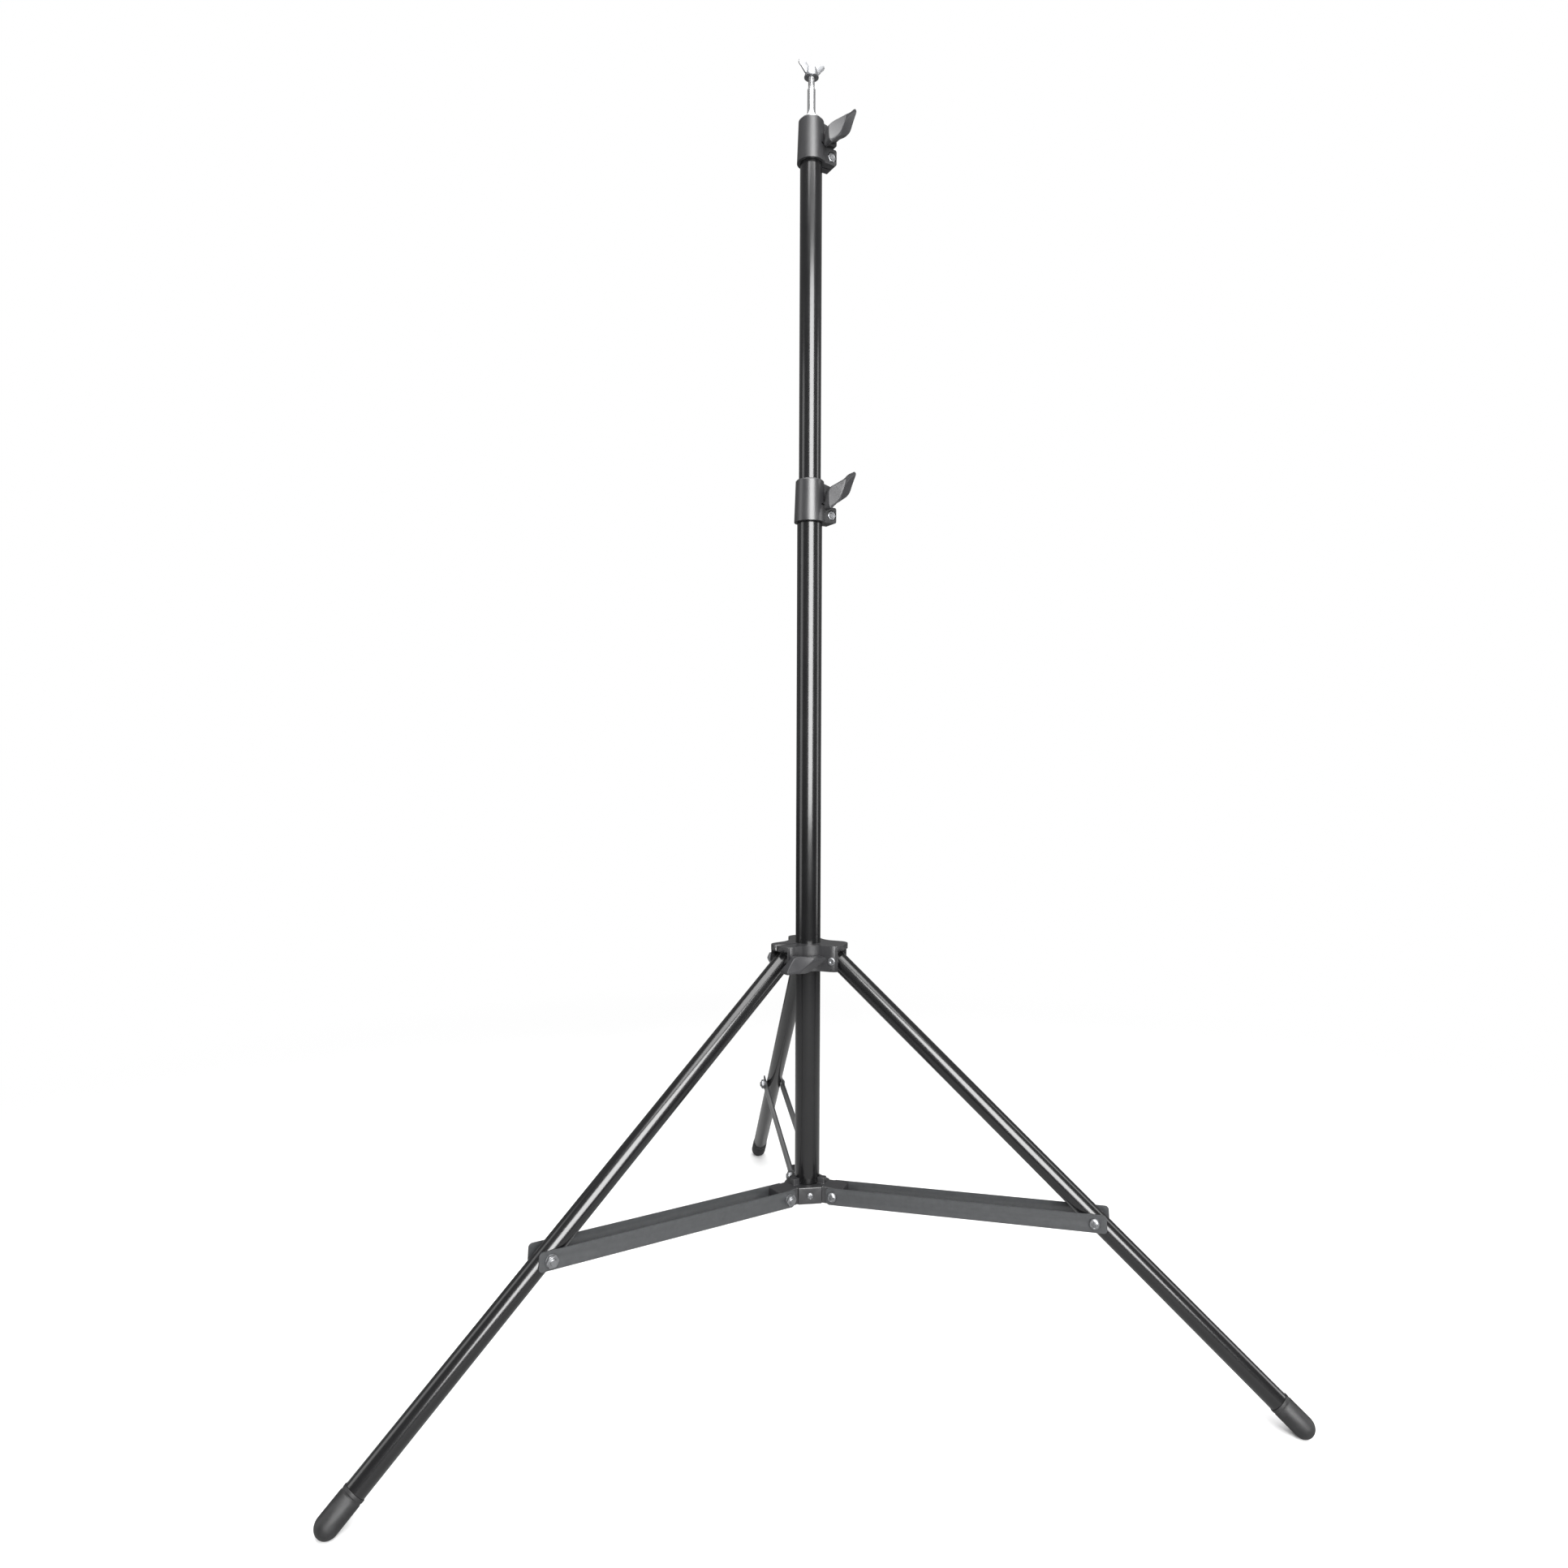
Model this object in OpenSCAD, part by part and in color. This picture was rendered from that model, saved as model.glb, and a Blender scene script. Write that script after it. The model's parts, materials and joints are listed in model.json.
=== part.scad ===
// Three-section telescopic light stand: a folding tripod on a sliding collar, two tube clamps,
// and a stud with a wing nut. The origin is on the floor, on the axis of the column. +Z is up,
// the rear leg lies along +Y, and the stand is drawn spread out with its column part raised.

/* [Column] */
// Outer diameter of the lower column tube
lower_tube_d = 25; // [20:0.5:34]
// Wall of the column tubes
tube_wall = 1.2; // [0.8:0.1:1.6]
// Gap all round between one column tube and the next
tube_gap = 0.3; // [0.2:0.1:0.6]
// Length of the lower tube
lower_tube_l = 697; // [560:1:900]
// Length of the middle tube
middle_tube_l = 700; // [560:1:850]
// Length of the top tube
top_tube_l = 686; // [560:1:830]
// How far the upper clamp stands above the lower clamp
middle_out = 313; // [250:1:400]
// How far the top tube stands out of the upper clamp
top_out = 1; // [1:1:60]
// Running clearance of a slider or a pivot in its bore
running_fit = 0.05; // [0.02:0.01:0.1]

/* [Guide bushes] */
// Height of a guide bush below its tube
bush_h = 12; // [6:1:20]
// Height of the bush's spigot inside its tube
bush_spigot = 15; // [8:1:30]
// Wall of the guide bush
bush_wall = 2; // [1.2:0.1:3]

/* [Tube clamps] */
// Height of a tube clamp
clamp_h = 42; // [38:1:60]
// Depth of the seat that holds the clamp's own tube
clamp_seat = 20; // [19:1:26]
// Wall of the clamp's barrel
clamp_wall = 3.1; // [2.4:0.1:5]
// Chamfer round the clamp's mouth
clamp_chamfer = 1.4; // [0.5:0.1:2.2]
// Compass direction of the clamp lugs
lug_az = 21; // [0:1:60]
// Length of a lug beyond the barrel
lug_out = 10.4; // [9:0.1:16]
// Half of the thickness across both lugs
lug_half = 8.5; // [8:0.1:9.5]
// Width of the slit between the lugs
lug_slit = 2; // [1:0.1:3]
// Height of a lug
lug_h = 16; // [14:0.5:17]
// Height of the cross slit that frees the upper band
cross_slit = 2; // [1:0.1:2.5]

/* [Fasteners] */
// Radius of the clamp bolts
clamp_bolt_r = 2.5; // [2:0.1:3]
// Radius of the pivot bolts and of the knob screws
bolt_r = 3; // [2.5:0.1:3.5]
// Width across the flats of the pivot bolts and nuts
bolt_af = 10; // [9:0.5:12]
// Height of a bolt head or nut
nut_h = 4.4; // [3:0.1:6]
// Radius of the screws that fix the hub
hub_screw_r = 2; // [1.5:0.1:2.5]
// Radius of a rivet's head
rivet_head_r = 4; // [3.6:0.1:5]

/* [Wing knobs] */
// Length of a wing knob
knob_l = 48; // [40:1:60]
// Depth of a wing knob along its screw
knob_depth = 21; // [18:1:30]
// Radius of the knob's hub
knob_hub_r = 7; // [6:0.5:9]
// Height of the hub below the wings
knob_hub_h = 8; // [7:0.5:10]
// Turn of the clamp knobs' wings above level
clamp_knob_turn = 46; // [0:1:180]
// Turn of the collar knob's wings above level
collar_knob_turn = 4; // [0:1:180]

/* [Legs] */
// Outer diameter of a leg tube
leg_d = 18; // [14:0.5:22]
// Wall of a leg tube
leg_wall = 1; // [0.8:0.1:1.5]
// Length of a leg from its pivot to the centre of its foot
leg_l = 563; // [520:1:640]
// Angle of a spread leg from the vertical
leg_spread = 49; // [40:0.5:50]
// Distance along a leg from its pivot to the brace bolt
brace_at = 334; // [325:1:380]
// Distance of the leg and brace pivots from the column axis
pivot_r = 31; // [29:0.5:38]
// Wall of a rubber foot outside the leg tube
foot_wall = 0.6; // [0.4:0.1:0.8]
// Length of a rubber foot above its round end
foot_sleeve = 26; // [15:1:50]
// Depth of the flat worn on a foot where it stands
foot_flat = 0.6; // [0.4:0.1:1]

/* [Leg collar] */
// Half of the width of a collar arm
arm_half = 16; // [15.5:0.5:20]
// Reach of a collar arm beyond the leg pivot
arm_out = 9; // [7:0.5:12]
// Wall of a collar arm
arm_wall = 3; // [2:0.5:4]
// Radius of the corners at a collar arm's end
arm_corner = 11; // [4:0.5:12]
// Height of the underside of the top plate above the leg pivots
plate_above = 10; // [9.8:0.1:14]
// Thickness of the top plate
plate_t = 5; // [3:0.5:8]
// Depth of the arm walls below the leg pivots
skirt_below = 10.5; // [7:0.5:14]
// Wall of the collar's sleeve round the column
sleeve_wall = 4; // [3:0.5:6]
// Width of the seam that lets the knob squeeze the collar
seam_w = 1.4; // [0.8:0.1:2]

/* [Hub and braces] */
// Height of the hub's pivots above the floor
hub_z = 143; // [135:1:150]
// Height of the hub
hub_h = 16.5; // [14:0.5:24]
// Distance from the column axis to a flat of the hub
hub_flat = 20; // [18.5:0.5:22]
// Reach of a hub arm beyond its pivot
hub_arm_out = 10; // [7:0.5:14]
// Thickness of the hub's floor under the column
hub_floor = 2; // [1:0.5:4]
// Height of the root ribs above the hub
hub_rib_h = 6; // [3:0.5:8]
// Width of the root ribs
hub_rib_w = 7; // [4:0.5:10]
// Gap between a leg and the brace bar on each side of it
bar_side_gap = 1; // [0.5:0.1:3]
// Thickness of a brace bar
bar_t = 1.4; // [1:0.1:2.5]
// Height of a brace bar
bar_h = 16.5; // [13:0.5:20]
// Length of a bar beyond its hub bolt
bar_in = 6.5; // [5.5:0.5:9]
// Length of a bar beyond its leg bolt
bar_out = 10.7; // [8:0.1:14]
// Radius of a bar's corners
bar_corner = 3.5; // [1:0.5:5]

/* [Stud] */
// Diameter of the stud's plain part
stud_d = 8; // [7:0.5:12]
// Length of the stud's plain part
stud_plain = 20; // [15:1:40]
// Diameter of the stud's threaded end
thread_d = 6.4; // [5:0.1:7]
// Length of the stud's threaded end
thread_l = 20; // [15:1:40]
// Height of the flared shoulder below the stud
shoulder_h = 10; // [6:1:20]
// Depth of the plug inside the top tube
plug_depth = 22; // [12:1:40]
// Height of the washer's underside above the end of the plain part
nut_up = 11.5; // [1:0.5:12]
// Diameter of the washer
washer_d = 14.5; // [12:0.5:20]
// Thickness of the washer
washer_t = 1; // [0.6:0.1:2]
// Span of the wing nut
wing_span = 29; // [24:1:40]
// Height of the wing nut's hub
wing_hub_h = 8.5; // [6:0.5:10]
// Height of the wing nut's wings
wing_h = 17; // [12:0.5:20]

/* [Hidden] */
$fn = 64;

// Clearances and small details
eps = 0.01;
face_gap = 0.2;        // between flat faces that slide on each other
shank_gap = 0.3;       // between a leg's cross shank and the brace bars
bolt_hole_fit = 0.1;   // round a bolt in a fixed hole
column_fit = 0.1;      // round the column inside the leg collar
head_h = 4;            // height of a pivot bolt's head
bolt_end = 1.2;        // bolt showing beyond its nut
screw_head_r = 3.4;
screw_head_h = 2;
screw_taper = 0.8;     // radius a screw head loses from its seat to its top
bolt_taper = 1.2;      // the same for a pivot bolt's head
rivet_head_h = 1.4;
recess_w = 1.2;        // width of a cross recess
recess_l = 4;          // length of a cross recess
hull_fn = 32;
black = "#1c1c1e";
dark_plastic = "#2a2a2d";
grey_paint = "#3a3b3d";
zinc = "#c9ccd0";
chrome = "#e2e4e6";
rubber = "#303033";

// Tube radii, each tube nesting in the one before it
lower_r = lower_tube_d / 2;
lower_bore = lower_r - tube_wall;
middle_r = lower_bore - tube_gap;
middle_bore = middle_r - tube_wall;
top_r = middle_bore - tube_gap;
top_bore = top_r - tube_wall;

// Legs and braces, seen in the plane of one arm
leg_r = leg_d / 2;
bar_gap = leg_d + 2 * bar_side_gap;
foot_r = leg_r + foot_wall;
foot_z = foot_r - foot_flat;
collar_z = foot_z + leg_l * cos(leg_spread);
joint_r = pivot_r + brace_at * sin(leg_spread);
joint_z = collar_z - brace_at * cos(leg_spread);
brace_l = norm([joint_r - pivot_r, joint_z - hub_z]);
brace_lean = atan2(joint_r - pivot_r, joint_z - hub_z);
bar_face = bar_gap / 2 + bar_t;
leg_top = 2;           // leg tube above its pivot
leg_bore = leg_r - leg_wall;
sleeve_r = bolt_r + 1.5;
arm_inner = arm_half - arm_wall;
LEFT = 210;
RIGHT = 330;
REAR = 90;

// Heights along the column
hub_bottom = hub_z - hub_h / 2;
hub_top = hub_z + hub_h / 2;
lower_tube_z = hub_bottom + hub_floor;
lower_clamp_z = lower_tube_z + lower_tube_l - clamp_seat;
upper_clamp_z = lower_clamp_z + clamp_h + middle_out;
middle_tube_z = upper_clamp_z + clamp_seat - middle_tube_l;
top_end_z = upper_clamp_z + clamp_h + top_out;
top_tube_z = top_end_z - top_tube_l;
plain_z = top_end_z + shoulder_h;
thread_z = plain_z + stud_plain;
washer_z = thread_z + nut_up;
nut_z = washer_z + washer_t;

// Places on a clamp, measured from its foot
low_bolt_z = lug_h / 2;
upper_lug_z = clamp_seat - 1;
knob_axis_z = upper_lug_z + 10;
clamp_nut_af = 8;
clamp_nut_h = 3;
recess_r = 5;          // round recess for the lower bolt's head and nut
clamp_bolt_end = 0.4;  // bolt showing beyond its nut
lug_root = 0.6;        // lug sunk into the barrel
lug_corner = 2;
lug_foot = 0.4;        // underside of the lower lug above the barrel's foot
lug_drop = 3;          // top of the upper lug below the mouth, at the barrel
lug_slope = 5;         // further drop at the lug's end

// Wing nut and wing knob shapes
wing_turn = 15;        // compass direction of the wing nut's wings
wing_taper = 2.2;      // hub radius lost from foot to top
knob_core_r = 7.4;     // round middle of a knob's wings
knob_core_off = 2;     // its place off the axis, which gives the wings their S
knob_tip_r = 2;
knob_tip_off = 3;

// A rectangle with round corners, from corner a to corner b
module round_rect(a, b, r) {
    translate([a[0] + r, a[1]]) square([b[0] - a[0] - 2 * r, b[1] - a[1]]);
    translate([a[0], a[1] + r]) square([b[0] - a[0], b[1] - a[1] - 2 * r]);
    for (x = [a[0] + r, b[0] - r], y = [a[1] + r, b[1] - r]) translate([x, y]) circle(r);
}

module tube(outer, inner, z, l) {
    translate([0, 0, z]) difference() {
        cylinder(r = outer, h = l);
        translate([0, 0, -1]) cylinder(r = inner, h = l + 2);
    }
}

module hex(af, h) {
    cylinder(r = af / 2 / cos(30), h = h, $fn = 6);
}

module hex_nut(af, h, hole) {
    difference() {
        hex(af, h);
        translate([0, 0, -1]) cylinder(r = hole, h = h + 2);
    }
}

module cross_recess(depth) {
    for (turn = [0, 90])
        rotate(turn) translate([-recess_l / 2, -recess_w / 2, -depth])
            cube([recess_l, recess_w, depth + 1]);
}

// Frames: the plane of an arm, a leg, a brace and a lug
module arm(az) {
    rotate([0, 0, az]) children();
}

module on_leg(az) {
    arm(az) translate([pivot_r, 0, collar_z]) rotate([0, 180 - leg_spread, 0]) children();
}

module on_brace(az) {
    arm(az) translate([pivot_r, 0, hub_z]) rotate([0, brace_lean, 0]) children();
}

module across() {
    rotate([-90, 0, 0]) children();
}

module across_back() {
    rotate([90, 0, 0]) children();
}

module on_lug(z) {
    translate([0, 0, z]) rotate([0, 0, lug_az]) rotate([90, 0, 0]) children();
}

// Column
module lower_tube() {
    color(black) difference() {
        tube(lower_r, lower_bore, lower_tube_z, lower_tube_l);
        hub_screw_places() translate([0, 0, lower_bore - 2]) cylinder(r = hub_screw_r, h = 4);
    }
}

module middle_tube() {
    color(black) tube(middle_r, middle_bore, middle_tube_z, middle_tube_l);
}

module top_tube() {
    color(black) tube(top_r, top_bore, top_tube_z, top_tube_l);
}

// A bush that guides the foot of one tube in the bore of the next
module guide_bush(outer_bore, inner_bore, tube_z) {
    base_z = tube_z - face_gap - bush_h;
    guide_r = outer_bore - running_fit;
    spigot_r = inner_bore - running_fit;
    color("#d8d8d4") difference() {
        union() {
            translate([0, 0, base_z]) cylinder(r = guide_r, h = bush_h);
            translate([0, 0, base_z]) cylinder(r = spigot_r, h = bush_h + bush_spigot);
        }
        translate([0, 0, base_z - 1]) cylinder(r = spigot_r - bush_wall, h = bush_h + bush_spigot + 2);
    }
}

module stud_plug() {
    neck_r = stud_d / 2;
    rim = 1;
    flare = top_r - neck_r - rim;
    color(chrome) {
        translate([0, 0, top_end_z - plug_depth]) cylinder(r = top_bore, h = plug_depth + eps);
        translate([0, 0, top_end_z]) rotate_extrude() polygon(concat(
            [[0, 0], [top_r, 0], [top_r, rim]],
            [for (t = [0:15:90]) [neck_r + flare * (1 - sin(t)), rim + (shoulder_h - rim) * (1 - cos(t))]],
            [[0, shoulder_h]]));
        translate([0, 0, plain_z - eps]) cylinder(r = neck_r, h = stud_plain + eps);
        translate([0, 0, thread_z - eps]) cylinder(r = thread_d / 2, h = thread_l + eps);
    }
}

module stud_washer() {
    color(zinc) tube(washer_d / 2, thread_d / 2 + 0.2, washer_z, washer_t);
}

// One wing, from a thick root in the hub to a thinner tip
module nut_wing() {
    root = [3, 2.8, wing_hub_h * 0.8];
    tip = [4.5, 2, 5];
    hull() {
        translate([1, -root[1] / 2, 0.6]) cube(root);
        translate([wing_span / 2 - tip[0], -tip[1] / 2, wing_h - tip[2]]) cube(tip);
    }
}

module wing_nut() {
    hub_r = washer_d / 2 - 0.4;
    color(zinc) translate([0, 0, nut_z + face_gap]) rotate(wing_turn) difference() {
        union() {
            cylinder(r1 = hub_r, r2 = hub_r - wing_taper, h = wing_hub_h);
            nut_wing();
            rotate(180) nut_wing();
        }
        translate([0, 0, -1]) cylinder(r = thread_d / 2 + running_fit, h = wing_h + 2);
    }
}

// Tube clamps
module clamp_lug(low, high, from_x, reach) {
    linear_extrude(2 * lug_half, center = true) round_rect([from_x, low], [reach, high], lug_corner);
}

// The upper lug's top slopes down to its end
module sloped_lug(low, high, from_x, reach) {
    intersection() {
        clamp_lug(low, high, from_x, reach);
        linear_extrude(2 * lug_half + 2, center = true)
            polygon([
                [from_x - 1, low - 1], [reach + 1, low - 1], [reach + 1, high - lug_slope], [from_x, high]]);
    }
}

module clamp_body(z, own_r, inner_r) {
    grip_r = inner_r + running_fit;
    reach = own_r + clamp_wall + lug_out;
    bolt_x = reach - lug_out / 2;
    lug_from = sqrt(own_r * own_r - lug_half * lug_half) + lug_root;
    slit_reach = 2 * (own_r + clamp_wall);
    color(dark_plastic) difference() {
        union() {
            translate([0, 0, z]) rotate_extrude() polygon([
                [grip_r, clamp_seat], [own_r, clamp_seat], [own_r, 0], [own_r + clamp_wall, 0],
                [grip_r + clamp_wall, clamp_h - clamp_chamfer],
                [grip_r + clamp_wall - clamp_chamfer, clamp_h], [grip_r, clamp_h]]);
            on_lug(z) clamp_lug(lug_foot, lug_h, lug_from, reach);
            on_lug(z) sloped_lug(upper_lug_z, clamp_h - lug_drop, lug_from, reach);
        }
        translate([0, 0, z - 1]) cylinder(r = own_r, h = clamp_seat + 1);
        translate([0, 0, z]) cylinder(r = grip_r, h = clamp_h + 1);
        on_lug(z) translate([0, -1, -lug_slit / 2]) cube([reach + 1, clamp_h + 2, lug_slit]);
        on_lug(z) translate([grip_r / 2, lug_h, -slit_reach]) cube([reach, cross_slit, 2 * slit_reach]);
        on_lug(z) translate([bolt_x, low_bolt_z, -lug_half - 1])
            cylinder(r = clamp_bolt_r + bolt_hole_fit, h = 2 * lug_half + 2);
        for (side = [0, 180]) on_lug(z) translate([bolt_x, low_bolt_z, 0]) rotate([side, 0, 0])
            translate([0, 0, lug_half - clamp_nut_h]) cylinder(r = recess_r, h = clamp_nut_h + 1);
        on_lug(z) translate([bolt_x, knob_axis_z, -lug_half - 1])
            cylinder(r = bolt_r + bolt_hole_fit, h = 2 * lug_half + 2);
        on_lug(z) translate([bolt_x, knob_axis_z, -lug_half - 1]) hex(bolt_af, nut_h + 1);
    }
}

module clamp_bolt(z, own_r) {
    bolt_x = own_r + clamp_wall + lug_out / 2;
    color(zinc) on_lug(z) translate([bolt_x, low_bolt_z, 0]) {
        translate([0, 0, -lug_half]) cylinder(r = clamp_bolt_r, h = 2 * lug_half + clamp_bolt_end);
        translate([0, 0, -lug_half]) cylinder(r = clamp_nut_af / 2, h = clamp_nut_h);
    }
}

module clamp_nut(z, own_r) {
    bolt_x = own_r + clamp_wall + lug_out / 2;
    color(zinc) on_lug(z) translate([bolt_x, low_bolt_z, lug_half - clamp_nut_h])
        hex_nut(clamp_nut_af, clamp_nut_h, clamp_bolt_r);
}

module clamp_captive_nut(z, own_r) {
    bolt_x = own_r + clamp_wall + lug_out / 2;
    color(zinc) on_lug(z) translate([bolt_x, knob_axis_z, -lug_half])
        hex_nut(bolt_af - 0.1, nut_h - 0.1, bolt_r + running_fit);
}

// Wing knobs, drawn on their own axis with the seat at z = 0
module knob_grip() {
    color(dark_plastic) difference() {
        union() {
            cylinder(r1 = knob_hub_r, r2 = knob_hub_r + 1, h = knob_hub_h + 3);
            for (turn = [0, 180]) rotate(turn) hull() {
                translate([-knob_core_off, 0, knob_hub_h])
                    cylinder(r = knob_core_r, h = knob_depth - knob_hub_h, $fn = hull_fn);
                translate([knob_l / 2 - knob_tip_r, knob_tip_off, knob_hub_h + 2])
                    cylinder(r = knob_tip_r, h = knob_depth - knob_hub_h - 3, $fn = hull_fn);
            }
        }
        translate([0, 0, -1]) cylinder(r = bolt_r, h = knob_depth - 4);
    }
}

module knob_screw(l) {
    color(zinc) translate([0, 0, -l]) cylinder(r = bolt_r, h = l + knob_depth - 5);
}

module clamp_screw() {
    knob_screw(2 * lug_half);
}

module collar_screw() {
    knob_screw(2 * arm_half + nut_h + bolt_end);
}

module on_clamp_knob(z, own_r) {
    on_lug(z) translate([own_r + clamp_wall + lug_out / 2, knob_axis_z, lug_half + shank_gap])
        rotate(clamp_knob_turn) children();
}

module on_collar_knob() {
    arm(LEFT) translate([pivot_r, arm_half + shank_gap, collar_z]) rotate([90, 0, 180])
        rotate(collar_knob_turn) children();
}

// Leg collar: three channels under one plate, on a sleeve round the column
module collar_outline() {
    circle(lower_r + column_fit + sleeve_wall);
    for (az = [LEFT, RIGHT, REAR]) rotate(az)
        round_rect([0, -arm_half], [pivot_r + arm_out, arm_half], arm_corner);
}

module leg_collar_body() {
    plate_z = collar_z + plate_above;
    skirt_z = collar_z - skirt_below;
    bore = lower_r + column_fit;
    blend_r = 20;
    color(dark_plastic) difference() {
        translate([0, 0, skirt_z]) linear_extrude(plate_z + plate_t - skirt_z)
            offset(-blend_r, $fn = 96) offset(blend_r, $fn = 96) collar_outline();
        translate([0, 0, skirt_z - 1]) cylinder(r = bore, h = plate_z + plate_t - skirt_z + 2);
        for (az = [LEFT, RIGHT, REAR]) arm(az) {
            translate([bore + sleeve_wall, -arm_inner, skirt_z - 1])
                cube([arm_out + pivot_r, 2 * arm_inner, plate_z - skirt_z + 1]);
            translate([pivot_r, -arm_half - 1, collar_z]) across()
                cylinder(r = bolt_r + bolt_hole_fit, h = 2 * arm_half + 2);
        }
        arm(LEFT) translate([bore - 1, -seam_w / 2, skirt_z - 1])
            cube([pivot_r + arm_out, seam_w, plate_z + plate_t - skirt_z + 2]);
    }
}

module collar_rivets() {
    color(zinc) for (az = [RIGHT, REAR]) arm(az) translate([pivot_r, 0, collar_z]) across() {
        cylinder(r = bolt_r, h = 2 * (arm_half + rivet_head_h), center = true);
        for (side = [-1, 1]) translate([0, 0, side * (arm_half + rivet_head_h / 2)])
            cylinder(r = rivet_head_r, h = rivet_head_h, center = true);
    }
}

module collar_captive_nut() {
    color(zinc) arm(LEFT) translate([pivot_r, -arm_half - nut_h, collar_z]) across()
        hex_nut(bolt_af, nut_h, bolt_r + running_fit);
}

// Legs
module leg_tube(az) {
    color(black) on_leg(az) difference() {
        tube(leg_r, leg_bore, -leg_top, leg_l + leg_top - 4);
        translate([0, -leg_d, 0]) across() cylinder(r = sleeve_r, h = 2 * leg_d);
        translate([0, -leg_d, brace_at]) across() cylinder(r = bolt_r, h = 2 * leg_d);
    }
}

module leg_plug(az) {
    half = arm_inner - face_gap;
    color(dark_plastic) on_leg(az) difference() {
        union() {
            translate([0, 0, -leg_top]) cylinder(r = leg_bore, h = 20);
            intersection() {
                sphere(r = leg_r + 0.3);
                translate([-leg_d, -leg_d, -leg_top - leg_d]) cube([2 * leg_d, 2 * leg_d, leg_d]);
            }
            translate([0, -half, 0]) across() cylinder(r = sleeve_r, h = 2 * half);
        }
        translate([0, -half - 1, 0]) across() cylinder(r = bolt_r + running_fit, h = 2 * half + 2);
    }
}

module leg_shank(az) {
    half = bar_gap / 2 - shank_gap;
    color(zinc) on_leg(az) translate([0, -half, brace_at]) across() cylinder(r = bolt_r, h = 2 * half);
}

module foot(az) {
    color(rubber) difference() {
        on_leg(az) difference() {
            union() {
                translate([0, 0, leg_l - foot_sleeve]) cylinder(r = foot_r, h = foot_sleeve);
                translate([0, 0, leg_l]) sphere(r = foot_r);
            }
            translate([0, 0, leg_l - foot_sleeve - 1]) cylinder(r = leg_r, h = foot_sleeve - 3);
        }
        arm(az) translate([pivot_r, -2 * foot_r, -2 * foot_r]) cube([2 * leg_l, 4 * foot_r, 2 * foot_r]);
    }
}

// Hub and braces
module hub_screw_places() {
    for (az = [REAR, LEFT, RIGHT]) rotate([0, 0, az + 180]) translate([0, 0, hub_z])
        rotate([0, 90, 0]) children();
}

module hub_body() {
    block_half = bar_gap / 2 - face_gap;
    color(dark_plastic) difference() {
        translate([0, 0, hub_bottom]) union() {
            cylinder(r = hub_flat / cos(30), h = hub_h, $fn = 6);
            for (az = [LEFT, RIGHT, REAR]) arm(az) {
                translate([0, -block_half, 0]) cube([pivot_r + hub_arm_out, 2 * block_half, hub_h]);
                translate([lower_bore, -hub_rib_w / 2, hub_h - 1])
                    cube([hub_flat - lower_bore - 0.5, hub_rib_w, hub_rib_h + 1]);
            }
        }
        translate([0, 0, lower_tube_z]) cylinder(r = lower_r, h = hub_h + hub_rib_h);
        for (az = [LEFT, RIGHT, REAR]) arm(az) translate([pivot_r, -block_half - 1, hub_z])
            across() cylinder(r = bolt_r + bolt_hole_fit, h = 2 * block_half + 2);
        hub_screw_places() translate([0, 0, lower_r - 1]) cylinder(r = hub_screw_r, h = 20);
    }
}

module hub_screws() {
    color(zinc) hub_screw_places() difference() {
        union() {
            translate([0, 0, lower_bore]) cylinder(r = hub_screw_r, h = hub_flat - lower_bore);
            translate([0, 0, hub_flat])
                cylinder(r1 = screw_head_r, r2 = screw_head_r - screw_taper, h = screw_head_h);
        }
        translate([0, 0, hub_flat + screw_head_h]) cross_recess(1.2);
    }
}

// A pivot bolt across an arm: its head on the -Y side of the arm, its end on the +Y side
module pivot_bolt_head(face) {
    difference() {
        translate([0, 0, face]) cylinder(r1 = bolt_af / 2, r2 = bolt_af / 2 - bolt_taper, h = head_h);
        translate([0, 0, face + head_h]) cross_recess(1.5);
    }
}

module hub_pivot_bolts() {
    face = bar_face + face_gap / 2;
    end = face + nut_h + bolt_end;
    color(zinc) for (az = [LEFT, RIGHT, REAR]) arm(az) translate([pivot_r, 0, hub_z]) across_back() {
        pivot_bolt_head(face);
        translate([0, 0, -end]) cylinder(r = bolt_r, h = end + face + eps);
    }
}

module hub_pivot_nuts() {
    face = bar_face + face_gap / 2;
    color(zinc) for (az = [LEFT, RIGHT, REAR]) arm(az) translate([pivot_r, 0, hub_z]) across_back()
        translate([0, 0, -face - nut_h]) hex_nut(bolt_af, nut_h, bolt_r);
}

module brace_bars(az) {
    color(grey_paint) on_brace(az) for (side = [-1, 1])
        translate([0, side * (bar_gap + bar_t) / 2, 0]) rotate([90, 0, 0]) rotate(90)
            linear_extrude(bar_t, center = true) difference() {
                round_rect([-bar_in, -bar_h / 2], [brace_l + bar_out, bar_h / 2], bar_corner);
                circle(bolt_r + running_fit);
                translate([brace_l, 0]) circle(bolt_r);
            }
}

module brace_bolt(az) {
    color(zinc) on_brace(az) translate([0, 0, brace_l]) across_back() {
        pivot_bolt_head(bar_face);
        translate([0, 0, bar_gap / 2]) cylinder(r = bolt_r, h = bar_t + eps);
    }
}

module brace_nut(az) {
    color(zinc) on_brace(az) translate([0, 0, brace_l]) across_back() {
        translate([0, 0, -bar_face - nut_h]) hex(bolt_af, nut_h);
        translate([0, 0, -bar_face - nut_h - bolt_end]) cylinder(r = bolt_r, h = nut_h + bolt_end + bar_t);
    }
}

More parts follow.
